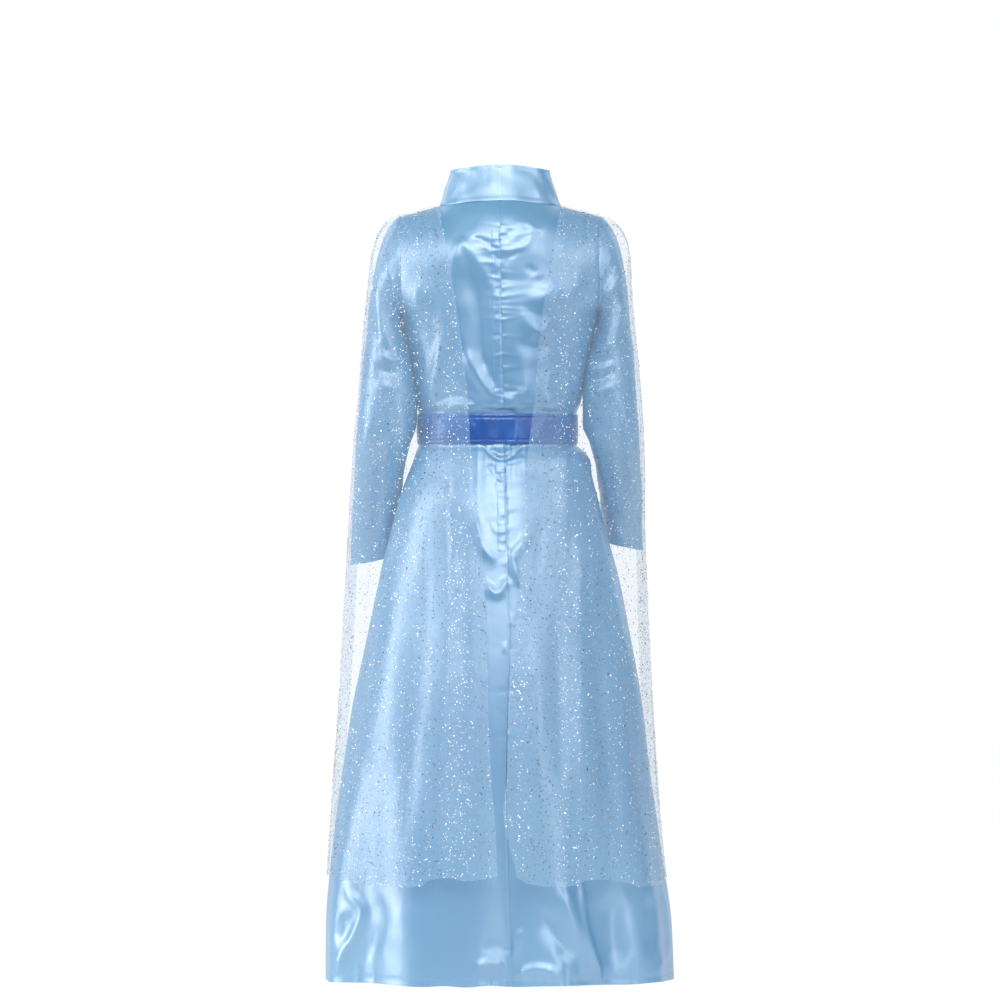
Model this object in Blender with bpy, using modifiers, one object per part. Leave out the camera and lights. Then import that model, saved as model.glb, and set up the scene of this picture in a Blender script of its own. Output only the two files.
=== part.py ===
# Child's long satin costume dress, as it is worn, with a belt and two sheer cape panels.
# Metres, +Z up, +Y to the wearer's front, +X to the wearer's right.
# The origin is the middle of the neck opening at shoulder height.
from collections import namedtuple
from math import asin, pi, radians

import bpy
import numpy as np

# Heights are measured up from the skirt's hem until a piece is made
NECK_HEIGHT = 1.075
SEAM_GAP = 0.0003
SATIN_WALL = 0.0012
SHEER_WALL = 0.001
BELT_WALL = 0.0015
COLLAR_WALL = 0.0016
STRIP_WALL = 0.001
OVERLAY_GAP = 0.0006        # between a strip or the belt and the cloth that it lies on

# Bodice
WAIST_SEAM = 0.7625
ARMPIT_HEIGHT = 0.915
ARMHOLE_X = 0.137           # the armholes lie in the planes at this distance from the middle
UPPER_HALF_WIDTH = 0.165    # the upper back's curve, if it ran on past the armholes
ROLL_DEPTH = 0.095          # from the shoulder seam back to the flat of the upper back
ROLL_DROP = 0.09            # and down to it
SHOULDER_HEIGHT = 1.0715    # at the neck
SHOULDER_FALL = 0.0135      # from the neck to the armhole
NAPE_RISE = 0.028           # how much higher the upper back runs at the nape
NECK_HALF_WIDTH = 0.084
NECK_BACK_DEPTH = 0.062
NECK_FRONT_DEPTH = 0.074
COLLAR_RISE = 0.050
COLLAR_LEAN = 0.016         # how far the collar's top edge leans in
NECK_COLUMNS = 6
SHOULDER_STEPS = (0.3, 0.6, 0.9, 1.0)             # columns from the neck to the armhole
ARMHOLE_STEPS = (0.05, 0.16, 0.4, 0.7, 1.0)       # rows from the armpit to the roll
ROLL_STEPS = (0.2, 0.4, 0.6, 0.8, 0.95, 1.0)      # rows over the shoulder, short at its seam

# Belt, with its lower and upper edge
BELT_LOW = 0.7412
BELT_HIGH = 0.7832

# Half-widths and half-depths of the body's cross-sections
Section = namedtuple("Section", "height left right back front")
TORSO = (
    Section(0.7350, 0.1130, 0.1060, 0.0860, 0.0880),
    Section(0.7850, 0.1130, 0.1060, 0.0860, 0.0880),
    Section(0.7955, 0.1160, 0.1110, 0.0915, 0.0925),
    Section(0.8170, 0.1190, 0.1160, 0.0950, 0.0960),
    Section(0.8600, 0.1245, 0.1235, 0.0985, 0.1005),
    Section(0.8860, 0.1305, 0.1295, 0.0995, 0.1030),
    Section(0.9150, 0.1370, 0.1370, 0.0990, 0.1030),
    Section(0.9350, 0.1520, 0.1520, 0.0980, 0.1000),
    Section(0.9560, 0.1620, 0.1620, 0.0960, 0.0965),
    Section(0.9680, 0.1650, 0.1650, 0.0950, 0.0950),
)
SKIRT = (
    Section(0.7650, 0.1130, 0.1060, 0.0860, 0.0880),
    Section(0.7400, 0.1130, 0.1060, 0.0860, 0.0880),
    Section(0.7300, 0.1165, 0.1180, 0.0910, 0.0920),
    Section(0.7170, 0.1210, 0.1260, 0.0970, 0.0960),
    Section(0.7010, 0.1275, 0.1275, 0.1020, 0.1000),
    Section(0.6700, 0.1385, 0.1350, 0.1120, 0.1080),
    Section(0.6200, 0.1515, 0.1475, 0.1240, 0.1180),
    Section(0.5600, 0.1665, 0.1645, 0.1360, 0.1300),
    Section(0.4800, 0.1830, 0.1800, 0.1510, 0.1450),
    Section(0.3840, 0.2035, 0.1965, 0.1670, 0.1600),
    Section(0.2830, 0.2200, 0.2090, 0.1800, 0.1740),
    Section(0.1860, 0.2320, 0.2230, 0.1900, 0.1850),
    Section(0.0800, 0.2415, 0.2385, 0.1970, 0.1930),
    Section(0.0000, 0.2425, 0.2420, 0.2010, 0.1970),
)
SKIRT_QUARTER_COLUMNS = 15
FOLD_GROWTH = 1.3           # 1 would open the folds evenly down to the hem

# Soft folds of the skirt: where in degrees from the centre back, how wide, how far they stand
# out (or in) at the hem, and the height at which they begin
Fold = namedtuple("Fold", "angle spread depth start")
SKIRT_FOLDS = (
    Fold(-67, 8, 0.011, 0.40),
    Fold(-50, 8, -0.009, 0.45),
    Fold(-26, 13, 0.010, 0.60),
    Fold(2, 8, -0.016, 0.45),
    Fold(19, 8, 0.010, 0.50),
    Fold(38, 9, -0.012, 0.50),
    Fold(60, 8, 0.011, 0.40),
    Fold(113, 8, 0.009, 0.45),
    Fold(131, 8, -0.010, 0.55),
    Fold(150, 9, 0.011, 0.50),
    Fold(170, 8, -0.009, 0.40),
    Fold(192, 9, 0.010, 0.55),
    Fold(212, 8, -0.010, 0.45),
    Fold(231, 8, 0.010, 0.50),
    Fold(249, 7, -0.007, 0.40),
)

# Sleeve rings, from the armhole to the cuff, as if for the left side turned to +X: the points
# nearest to and farthest from the body, the middle's place from back to front, half the depth,
# and how much higher the front edge is than the middle
Ring = namedtuple("Ring", "inner_x inner_height outer_x outer_height middle_y half_depth rise")
SLEEVE = (
    Ring(0.1372, 0.9150, 0.1372, 1.0580, 0.000, 0.050, 0.000),
    Ring(0.1382, 0.9150, 0.1384, 1.0580, 0.000, 0.050, 0.000),
    Ring(0.1386, 0.9130, 0.1540, 1.0430, 0.000, 0.050, 0.000),
    Ring(0.1380, 0.9090, 0.1670, 1.0140, 0.000, 0.050, 0.000),
    Ring(0.1366, 0.9040, 0.1755, 0.9760, -0.001, 0.049, 0.000),
    Ring(0.1348, 0.8970, 0.1808, 0.9380, -0.003, 0.047, 0.000),
    Ring(0.1314, 0.8850, 0.1852, 0.8980, -0.006, 0.045, 0.000),
    Ring(0.1254, 0.8620, 0.1888, 0.8660, -0.010, 0.043, 0.000),
    Ring(0.1202, 0.8320, 0.1918, 0.8330, -0.015, 0.041, 0.000),
    Ring(0.1174, 0.8000, 0.1948, 0.7990, -0.019, 0.039, 0.000),
    Ring(0.1170, 0.7700, 0.1975, 0.7680, -0.018, 0.039, 0.002),
    Ring(0.1260, 0.7400, 0.1998, 0.7380, -0.010, 0.038, 0.005),
    Ring(0.1325, 0.7060, 0.2022, 0.7020, 0.012, 0.036, 0.008),
    Ring(0.1375, 0.6680, 0.2046, 0.6620, 0.036, 0.035, 0.007),
    Ring(0.1415, 0.6310, 0.2068, 0.6230, 0.056, 0.034, 0.004),
    Ring(0.1445, 0.6000, 0.2086, 0.5890, 0.071, 0.033, 0.002),
    Ring(0.1460, 0.5865, 0.2096, 0.5735, 0.077, 0.033, 0.002),
)
ARMHOLE_HOLD = (1.0, 1.0, 0.5, 0.2)   # how far the first rings keep the armhole's own outline
ELBOW_HEIGHT = 0.770
CUFF_LIFT = {"left": 0.0, "right": 0.021}
SLEEVE_TRIM = {"left": 0.0, "right": 0.010}   # the right sleeve hangs a little closer
SLEEVE_TRIM_FALL = 0.53                       # below the shoulder, where it is all taken in

# Cape panels: outer half-widths, depth behind the middle, and the place of the widest point
# from back to front
Cape = namedtuple("Cape", "height left right back widest_y")
CAPE = (
    Cape(1.060, 0.1500, 0.1500, 0.0000, 0.000),
    Cape(1.057, 0.1535, 0.1545, 0.0285, 0.000),
    Cape(1.050, 0.1595, 0.1615, 0.0580, 0.000),
    Cape(1.040, 0.1660, 0.1690, 0.0790, 0.000),
    Cape(1.020, 0.1740, 0.1775, 0.0960, 0.000),
    Cape(0.990, 0.1803, 0.1815, 0.1035, 0.000),
    Cape(0.945, 0.1847, 0.1838, 0.1050, 0.000),
    Cape(0.886, 0.1898, 0.1885, 0.1055, -0.004),
    Cape(0.830, 0.1948, 0.1935, 0.1060, -0.008),
    Cape(0.773, 0.2003, 0.1976, 0.1070, -0.008),
    Cape(0.700, 0.2058, 0.2012, 0.1150, 0.010),
    Cape(0.650, 0.2094, 0.2027, 0.1240, 0.040),
    Cape(0.600, 0.2126, 0.2036, 0.1340, 0.064),
    Cape(0.490, 0.2178, 0.2066, 0.1580, 0.056),
    Cape(0.384, 0.2244, 0.2120, 0.1830, 0.040),
    Cape(0.283, 0.2312, 0.2186, 0.2000, 0.030),
    Cape(0.186, 0.2378, 0.2266, 0.2120, 0.022),
    Cape(0.141, 0.2405, 0.2322, 0.2170, 0.020),
)
Edge = namedtuple("Edge", "height left right")
CAPE_INNER_EDGE = (
    Edge(1.060, 0.0850, 0.0850),
    Edge(1.020, 0.0775, 0.0765),
    Edge(0.950, 0.0650, 0.0645),
    Edge(0.885, 0.0550, 0.0555),
    Edge(0.789, 0.0440, 0.0470),
    Edge(0.694, 0.0385, 0.0355),
    Edge(0.610, 0.0260, 0.0310),
    Edge(0.490, 0.0190, 0.0220),
    Edge(0.393, 0.0165, 0.0130),
    Edge(0.283, 0.0120, 0.0097),
    Edge(0.235, 0.0080, 0.0045),
    Edge(0.141, 0.0030, 0.0235),
)
CAPE_TOP = 1.060
CAPE_HEM = 0.141
CAPE_LIFT = 0.0017          # above the shoulder seam that it is sewn over
CAPE_SQUARENESS = 2.4       # 2 would be an ellipse
CAPE_FRONT_ANGLE = 112      # degrees from the centre back to the front edge
CAPE_FRONT_SHARE = 0.9      # depth before the widest point, against the depth behind it
CAPE_WRAP_DROP = 0.12       # below the shoulder, where the front edge has come round
CAPE_WAVES = 6
CAPE_WAVE_TOP = 0.0012
CAPE_WAVE_HEM = 0.011
CAPE_WAVE_GROWTH = 1.4
CAPE_CALM = radians(24)     # the waves lie flat this far before and behind each side
CAPE_COLUMNS = 30
CAPE_ROWS = (0, 0.003, 0.011, 0.022, 0.044, 0.076, 0.13, 0.2, 0.28, 0.37, 0.48, 0.6, 0.73, 0.87, 1)

# Closing strips left of the centre-back seam, with their lower and upper ends
STRIP_NEAR = 0.0012
STRIP_WIDTH = 0.012
STRIP_COLUMNS = 3
BODICE_STRIP = (0.788, 1.036)
SKIRT_STRIP = (0.594, 0.740)

Finish = namedtuple("Finish", "red green blue roughness metallic")
FINISHES = {
    "satin": Finish(150, 190, 225, 0.32, 0.0),
    "belt satin": Finish(38, 90, 170, 0.34, 0.0),
    "sheer glitter": Finish(236, 244, 252, 0.45, 0.0),
    "closing strip": Finish(160, 196, 228, 0.5, 0.0),
}


def clear_scene():
    for item in list(bpy.data.objects):
        bpy.data.objects.remove(item, do_unlink=True)


def linear(channel):
    share = channel / 255
    return share / 12.92 if share <= 0.04045 else ((share + 0.055) / 1.055) ** 2.4


def finish_material(node, finish):
    look = FINISHES[finish]
    material = bpy.data.materials.new(node + " " + finish)
    material.use_nodes = True
    shader = material.node_tree.nodes["Principled BSDF"]
    colour = [linear(channel) for channel in (look.red, look.green, look.blue)]
    shader.inputs["Base Color"].default_value = colour + [1.0]
    shader.inputs["Roughness"].default_value = look.roughness
    shader.inputs["Metallic"].default_value = look.metallic
    return material


def column(table, field, height):
    # Smooth curve through one column of a table, which never swings past its rows
    rows = sorted(table, key=lambda row: row.height)
    places = np.array([row.height for row in rows])
    values = np.array([getattr(row, field) for row in rows])
    steps = np.diff(places)
    slopes = np.diff(values) / steps
    before, after = slopes[:-1], slopes[1:]
    same_way = before * after > 0
    safe_before = np.where(same_way, before, 1.0)
    safe_after = np.where(same_way, after, 1.0)
    inner = np.where(same_way, 2 / (1 / safe_before + 1 / safe_after), 0.0)
    tangents = np.concatenate([slopes[:1], inner, slopes[-1:]])
    at = np.clip(height, places[0], places[-1])
    index = np.clip(np.searchsorted(places, at, side="right") - 1, 0, len(steps) - 1)
    step = steps[index]
    share = (at - places[index]) / step
    start = (1 + 2 * share) * (1 - share) ** 2 * values[index]
    start += share * (1 - share) ** 2 * step * tangents[index]
    end = share ** 2 * (3 - 2 * share) * values[index + 1]
    end += share ** 2 * (share - 1) * step * tangents[index + 1]
    return start + end


def body_ring(table, angle, height, out=0.0):
    # Angle 0 is the centre back and a quarter turn is the right side
    sine, cosine = np.sin(angle), np.cos(angle)
    width = np.where(sine > 0, column(table, "right", height), column(table, "left", height))
    depth = np.where(cosine > 0, column(table, "back", height), column(table, "front", height))
    across, along = sine / width, -cosine / depth
    size = np.hypot(across, along)
    x = width * sine + out * across / size
    y = -depth * cosine + out * along / size
    return np.stack([x, y, height + 0 * angle], axis=-1)


def skirt_surface(angle, height, out=0.0):
    swell = 0 * (angle + height)
    for fold in SKIRT_FOLDS:
        away = (angle - radians(fold.angle) + pi) % (2 * pi) - pi
        growth = np.clip(1 - height / fold.start, 0, 1) ** FOLD_GROWTH
        swell = swell + fold.depth * growth * np.exp(-(away / radians(fold.spread)) ** 2)
    return body_ring(SKIRT, angle, height, swell + out)


def shoulder_height(x):
    past_neck = np.clip((np.abs(x) - NECK_HALF_WIDTH) / (ARMHOLE_X - NECK_HALF_WIDTH), 0, None)
    return SHOULDER_HEIGHT - SHOULDER_FALL * past_neck


def back_height(x):
    # The upper back's roll is carried higher towards the nape, so its neckline stays level
    inside = np.clip(1 - (x / NECK_HALF_WIDTH) ** 2, 0, None)
    return shoulder_height(x) + NAPE_RISE * inside


def roll_end(x, neck_depth, spread):
    # How far the shoulder's roll still has to go at the neckline, 0 at the shoulder seam
    inside = np.clip(1 - (x / NECK_HALF_WIDTH) ** 2, 0, None)
    return np.arcsin(neck_depth * np.sqrt(inside) / (ROLL_DEPTH * spread))


def lower_bodice_heights():
    rows = [row.height for row in TORSO if WAIST_SEAM < row.height <= ARMPIT_HEIGHT]
    return [WAIST_SEAM + SEAM_GAP / 2] + rows


def bodice_points(side, face):
    # Rows run up from the waist seam and over the shoulder, columns out from the centre
    neck_turns = np.linspace(0, pi / 2, NECK_COLUMNS + 1)
    neck_angles = np.arcsin(NECK_HALF_WIDTH * np.sin(neck_turns) / UPPER_HALF_WIDTH)
    edge_angle = asin(ARMHOLE_X / UPPER_HALF_WIDTH)
    outer_angles = neck_angles[-1] + np.array(SHOULDER_STEPS) * (edge_angle - neck_angles[-1])
    share = np.concatenate([neck_angles, outer_angles]) / edge_angle
    shoulder_x = UPPER_HALF_WIDTH * np.sin(share * edge_angle)
    top = shoulder_height(shoulder_x) if face > 0 else back_height(shoulder_x)

    heights = [0 * share + height for height in lower_bodice_heights()]
    roll_start = top - ROLL_DROP
    heights += [ARMPIT_HEIGHT + step * (roll_start - ARMPIT_HEIGHT) for step in ARMHOLE_STEPS]
    heights = np.array(heights)
    width_name = "right" if side > 0 else "left"
    depth_name = "front" if face > 0 else "back"
    width = column(TORSO, width_name, heights)
    angle = share * np.arcsin(np.minimum(1, ARMHOLE_X / width))
    x = side * width * np.sin(angle)
    y = face * column(TORSO, depth_name, heights) * np.cos(angle)
    straight = np.stack([x, y, heights], axis=-1)

    spread = np.cos(share * edge_angle)
    neck_depth = NECK_FRONT_DEPTH if face > 0 else NECK_BACK_DEPTH
    last = roll_end(shoulder_x, neck_depth, spread)
    turn = pi / 2 + (last - pi / 2) * np.array(ROLL_STEPS)[:, None]
    y = face * ROLL_DEPTH * np.sin(turn) * spread
    z = top - ROLL_DROP * (1 - np.cos(turn))
    rolled = np.stack([side * shoulder_x + 0 * turn, y, z], axis=-1)
    return np.concatenate([straight, rolled])


def bodice_panel(side, face):
    # The edges draw back by half a seam's gap
    points = bodice_points(side, face)
    armpit = len(lower_bodice_heights()) - 1
    points[:, 0, 0] = side * SEAM_GAP / 2
    points[armpit:, -1, 0] = side * (ARMHOLE_X - SEAM_GAP / 2)
    points[:armpit + 1, -1, 1] = face * SEAM_GAP / 2
    points[-1, NECK_COLUMNS:, 1] = face * SEAM_GAP / 2
    return points


def neckline(turn):
    # Points of the neck edge, turning from the centre back round the right side
    back = np.cos(turn) > 0
    depth = np.where(back, NECK_BACK_DEPTH, NECK_FRONT_DEPTH)
    x = NECK_HALF_WIDTH * np.sin(turn)
    y = -depth * np.cos(turn)
    spread = np.sqrt(1 - (x / UPPER_HALF_WIDTH) ** 2)
    last = roll_end(x, depth, spread)
    top = np.where(back, back_height(x), shoulder_height(x))
    return np.stack([x, y, top - ROLL_DROP * (1 - np.cos(last))], axis=-1)


def armhole_loop(side):
    # From the shoulder down the back to the armpit and up the front
    armpit = len(lower_bodice_heights()) - 1
    back = bodice_points(side, -1)[armpit:, -1]
    front = bodice_points(side, 1)[armpit:, -1]
    loop = np.concatenate([back[::-1], front[1:-1]])
    loop[:, 0] = side * (ARMHOLE_X + SEAM_GAP / 2)
    loop[0, 1] = 0
    loop[len(back) - 1, 1] = 0
    return loop


def sleeve_rings(side):
    name = "right" if side > 0 else "left"
    loop = armhole_loop(side)
    first = SLEEVE[0]
    middle = (first.inner_height + first.outer_height) / 2
    half_height = (first.outer_height - first.inner_height) / 2
    turn = np.arctan2(loop[:, 1] / first.half_depth, (loop[:, 2] - middle) / half_height)
    shrink = 1 - CUFF_LIFT[name] / (ELBOW_HEIGHT - SLEEVE[-1].outer_height)
    rings = []
    for index, ring in enumerate(SLEEVE):
        fall = (first.outer_height - ring.outer_height) / SLEEVE_TRIM_FALL
        outer_x = ring.outer_x - SLEEVE_TRIM[name] * min(1, fall)
        inner = np.array([side * ring.inner_x, ring.middle_y, ring.inner_height])
        outer = np.array([side * outer_x, ring.middle_y, ring.outer_height])
        for point in (inner, outer):
            if point[2] < ELBOW_HEIGHT:
                point[2] = ELBOW_HEIGHT + (point[2] - ELBOW_HEIGHT) * shrink
        deep = np.array([0, ring.half_depth, ring.rise])
        spoke = (outer - inner) / 2
        points = (inner + outer) / 2 + np.outer(np.cos(turn), spoke) + np.outer(np.sin(turn), deep)
        if index == 0:
            armhole_shift = loop - points
            armhole_shift[:, 0] = 0
        if index < len(ARMHOLE_HOLD):
            points = points + ARMHOLE_HOLD[index] * armhole_shift
        rings.append(points)
    return np.array(rings)


def cape_points(side):
    name = "right" if side > 0 else "left"
    drop = np.array(CAPE_ROWS)[:, None]
    share = np.linspace(0, 1, CAPE_COLUMNS + 1)
    height = CAPE_TOP + (CAPE_HEM - CAPE_TOP) * drop
    width = column(CAPE, name, height)
    back = column(CAPE, "back", height)
    widest_y = column(CAPE, "widest_y", height)
    power = 2 / CAPE_SQUARENESS
    start = np.arcsin((column(CAPE_INNER_EDGE, name, height) / width) ** (1 / power))
    wrapped = np.clip((CAPE_TOP - height) / CAPE_WRAP_DROP, 0, 1)
    wrapped = wrapped ** 2 * (3 - 2 * wrapped)
    end = pi / 2 + radians(CAPE_FRONT_ANGLE - 90) * wrapped
    angle = start + (end - start) * share
    sine, cosine = np.sin(angle), np.cos(angle)
    x = width * sine ** power
    reach = np.where(cosine > 0, back + widest_y, CAPE_FRONT_SHARE * back)
    y = widest_y - reach * np.sign(cosine) * np.abs(cosine) ** power
    wave = CAPE_WAVE_TOP + (CAPE_WAVE_HEM - CAPE_WAVE_TOP) * drop ** CAPE_WAVE_GROWTH
    wave = wave * (0.5 - 0.5 * np.cos(2 * pi * CAPE_WAVES * share))
    wave = wave * (1 - np.exp(-((angle - pi / 2) / CAPE_CALM) ** 2))
    x = x + wave * sine
    y = y - wave * cosine
    top_x = x[0]
    top = shoulder_height(top_x) + CAPE_LIFT
    z = top + (CAPE_HEM - top) * drop
    return np.stack([side * x, y, z], axis=-1)


def cloth(name, points, wall, finish, closed=False):
    # A grid of points becomes an open surface with its wall on the inner side
    rows, columns = points.shape[:2]
    points = points - np.array([0, 0, NECK_HEIGHT])
    middle = points.mean(axis=1) if closed else np.array([0, 0, 1]) * points.mean(axis=1)
    wide = columns if closed else columns - 1
    faces = []
    for row in range(rows - 1):
        for place in range(wide):
            after = (place + 1) % columns
            low, high = row * columns, (row + 1) * columns
            faces.append((low + place, low + after, high + after, high + place))
    corners = points.reshape(-1, 3)
    quads = corners[np.array(faces)]
    normals = np.cross(quads[:, 2] - quads[:, 0], quads[:, 3] - quads[:, 1])
    outward = quads.mean(axis=1) - np.repeat((middle[1:] + middle[:-1]) / 2, wide, axis=0)
    if (normals * outward).sum() < 0:
        faces = [face[::-1] for face in faces]
    mesh = bpy.data.meshes.new(name)
    mesh.from_pydata(corners.tolist(), [], faces)
    mesh.shade_smooth()
    piece = bpy.data.objects.new(name, mesh)
    dress.objects.link(piece)
    mesh.materials.append(finish_material(name, finish))
    shell = piece.modifiers.new("Wall", "SOLIDIFY")
    shell.thickness = wall
    shell.offset = -1
    return piece


def make_bodice():
    cloth("bodice_back_left", bodice_panel(-1, -1), SATIN_WALL, "satin")
    cloth("bodice_back_right", bodice_panel(1, -1), SATIN_WALL, "satin")
    left, right = bodice_panel(-1, 1), bodice_panel(1, 1)
    right[:, 0, 0] = 0
    front = np.concatenate([left[:, :0:-1], right], axis=1)
    cloth("bodice_front", front, SATIN_WALL, "satin")


def make_collar():
    turns = np.linspace(0, 2 * pi, 4 * NECK_COLUMNS + 1)
    base = neckline(turns)
    lean = 1 - COLLAR_LEAN / np.hypot(base[:, 0], base[:, 1])
    rows = []
    for share in (0.0, 0.5, 1.0):
        row = base.copy()
        row[:, :2] *= (1 + (lean - 1) * share)[:, None]
        row[:, 2] += SEAM_GAP + COLLAR_RISE * share
        row[0, 0] = SEAM_GAP / 2
        row[-1, 0] = -SEAM_GAP / 2
        rows.append(row)
    cloth("collar", np.array(rows), COLLAR_WALL, "satin")


def make_sleeves():
    for name, side in (("sleeve_left", -1), ("sleeve_right", 1)):
        cloth(name, sleeve_rings(side), SATIN_WALL, "satin", closed=True)


def skirt_heights():
    rows = [row.height for row in SKIRT if row.height < WAIST_SEAM]
    return np.array([WAIST_SEAM - SEAM_GAP / 2] + rows)[:, None]


def make_skirt():
    heights = skirt_heights()
    panels = (("skirt_back_right", 0, 90), ("skirt_front", 90, 270), ("skirt_back_left", -90, 0))
    for name, start, end in panels:
        steps = SKIRT_QUARTER_COLUMNS * (end - start) // 90
        angle = np.radians(np.linspace(start, end, steps + 1))[None, :]
        points = skirt_surface(angle, heights)
        for edge, inward in ((0, 1), (-1, -1)):
            along = points[:, edge + inward] - points[:, edge]
            size = np.linalg.norm(along, axis=1, keepdims=True)
            points[:, edge] += along / size * SEAM_GAP / 2
        cloth(name, points, SATIN_WALL, "satin")


def make_belt():
    angle = np.radians(np.arange(0, 360, 90 / SKIRT_QUARTER_COLUMNS))[None, :]
    heights = np.linspace(BELT_LOW, BELT_HIGH, 3)[:, None]
    points = body_ring(TORSO, angle, heights, OVERLAY_GAP + BELT_WALL)
    cloth("belt", points, BELT_WALL, "belt satin", closed=True)


def make_strips():
    # Both strips take the points of the cloth that they lie on, moved out
    across = -np.linspace(STRIP_NEAR, STRIP_NEAR + STRIP_WIDTH, STRIP_COLUMNS + 1)
    panel = bodice_points(-1, -1)
    low, high = BODICE_STRIP
    edge, heights = panel[:, 0], panel[:, 0, 2]
    inside = (heights > low) & (heights < high)
    along = np.concatenate([[low], heights[inside], [high]])
    depth = np.interp(along, heights, -edge[:, 1])
    lift = OVERLAY_GAP + STRIP_WALL
    slope = np.gradient(depth, along)
    outward = lift / np.hypot(1, slope)
    points = np.zeros((len(along), len(across), 3))
    points[:, :, 0] = across
    points[:, :, 1] = (-depth - outward)[:, None]
    points[:, :, 2] = (along - slope * outward)[:, None]
    cloth("placket_bodice", points, STRIP_WALL, "closing strip")

    low, high = SKIRT_STRIP
    heights = skirt_heights()[:, 0]
    inside = heights[(heights > low) & (heights <= high)]
    along = np.concatenate([inside, [low]])[:, None]
    angle = np.arcsin(across[None, :] / column(SKIRT, "left", along))
    points = skirt_surface(angle, along, lift + OVERLAY_GAP)
    cloth("placket_skirt", points, STRIP_WALL, "closing strip")


def make_cape():
    for name, side in (("cape_left", -1), ("cape_right", 1)):
        cloth(name, cape_points(side), SHEER_WALL, "sheer glitter")


clear_scene()
dress = bpy.data.collections.new("princess costume dress")
bpy.context.scene.collection.children.link(dress)
make_bodice()
make_collar()
make_sleeves()
make_skirt()
make_belt()
make_strips()
make_cape()
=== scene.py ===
import bpy
import numpy as np
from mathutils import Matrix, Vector


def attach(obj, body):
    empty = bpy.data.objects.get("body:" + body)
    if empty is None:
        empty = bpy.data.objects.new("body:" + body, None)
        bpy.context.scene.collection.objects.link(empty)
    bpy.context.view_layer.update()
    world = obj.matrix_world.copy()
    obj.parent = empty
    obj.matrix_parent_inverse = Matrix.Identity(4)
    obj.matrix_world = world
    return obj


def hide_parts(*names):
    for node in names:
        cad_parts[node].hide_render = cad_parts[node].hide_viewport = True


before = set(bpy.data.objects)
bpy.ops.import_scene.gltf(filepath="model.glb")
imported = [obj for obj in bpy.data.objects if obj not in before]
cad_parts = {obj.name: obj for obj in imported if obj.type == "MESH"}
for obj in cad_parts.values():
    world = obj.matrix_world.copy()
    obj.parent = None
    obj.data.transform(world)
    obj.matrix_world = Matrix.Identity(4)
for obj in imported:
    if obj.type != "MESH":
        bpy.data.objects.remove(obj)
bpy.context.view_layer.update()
print("frame loaded with", len(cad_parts), "nodes")

# Heights are measured up from the skirt's hem until a piece is made
neckHeight = 1.075
seamGap = 0.0003
threadLift = 0.00012
# The camera behind the wearer, which also tells where the photograph's pixels lie on the dress
view = {"distance": 11.0, "height": 0.664, "pixelsPerMetre": 720.0, "middle": 500.0}


def numbers(text):
    # Rows of numbers, parted by line ends or slashes; a comma joins the two of one pixel
    lines = text.strip().replace("/", "\n").replace(",", " ").split("\n")
    return [[float(value) for value in line.split()] for line in lines]


def table(names, text):
    # The same rows as named columns
    return dict(zip(names.split(), np.array(numbers(text)).T))


def curve(rows, name, at):
    # Smooth line through one column against the height: a cubic between each two rows, with
    # harmonic-mean slopes, so that it never swings past them
    order = np.argsort(rows["height"])
    places = rows["height"][order]
    values = rows[name][order]
    steps = np.diff(places)
    slopes = np.diff(values) / steps
    before, after = slopes[:-1], slopes[1:]
    sameWay = before * after > 0
    safeBefore = np.where(sameWay, before, 1.0)
    safeAfter = np.where(sameWay, after, 1.0)
    inner = np.where(sameWay, 2 / (1 / safeBefore + 1 / safeAfter), 0.0)
    tangents = np.concatenate([slopes[:1], inner, slopes[-1:]])
    at = np.clip(at, places[0], places[-1])
    index = np.clip(np.searchsorted(places, at, side="right") - 1, 0, len(steps) - 1)
    step = steps[index]
    share = (at - places[index]) / step
    start = (1 + 2 * share) * (1 - share) ** 2 * values[index]
    start += share * (1 - share) ** 2 * step * tangents[index]
    end = share ** 2 * (3 - 2 * share) * values[index + 1]
    end += share ** 2 * (share - 1) * step * tangents[index + 1]
    return start + end


def smooth(value, low, high):
    # 0 below low, 1 above high, and an even S between them
    share = np.clip((value - low) / (high - low), 0, 1)
    return share ** 2 * (3 - 2 * share)


def bell(distance, width):
    return np.exp(-(distance / width) ** 2)


# ---- Forms shared by several pieces ----
torso = table("height left right back front", """
    .735 .113 .106 .086 .088 / .785 .113 .106 .086 .088 / .7955 .116 .111 .0915 .0925
    .817 .119 .116 .095 .096 / .86 .1245 .1235 .0985 .1005 / .886 .1305 .1295 .0995 .103
    .915 .137 .137 .099 .103 / .935 .152 .152 .098 .1 / .956 .162 .162 .096 .0965
    .968 .165 .165 .095 .095
""")
# How far the centre-back seam wanders to the right
seamLine = table("height x", """
    1.0557 .0006 / .9384 .0022 / .7963 .0052 / .6941 .0087 / .5313 .0116 / .476 .014 / .366 .0105
    .269 .009 / .1449 .0125 / 0 .0166
""")
waistSeam = 0.7625
armpitHeight = 0.915
armholeX = 0.137
upperHalfWidth = 0.165
rollDepth = 0.095
rollDrop = 0.09
neckHalfWidth = 0.084
neckDepths = {"back": 0.062, "front": 0.074}


def bodyRing(rows, angle, height, out=0.0):
    # Half-ellipses round the body: angle 0 is the centre back, a quarter turn the right side
    sine, cosine = np.sin(angle), np.cos(angle)
    width = np.where(sine > 0, curve(rows, "right", height), curve(rows, "left", height))
    depth = np.where(cosine > 0, curve(rows, "back", height), curve(rows, "front", height))
    across, along = sine / width, -cosine / depth
    size = np.hypot(across, along)
    x = width * sine + out * across / size
    y = -depth * cosine + out * along / size
    return np.stack([x, y, height + 0 * angle], axis=-1)


def shoulderHeight(x):
    pastNeck = np.clip((np.abs(x) - neckHalfWidth) / (armholeX - neckHalfWidth), 0, None)
    return 1.0715 - 0.0135 * pastNeck


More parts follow.
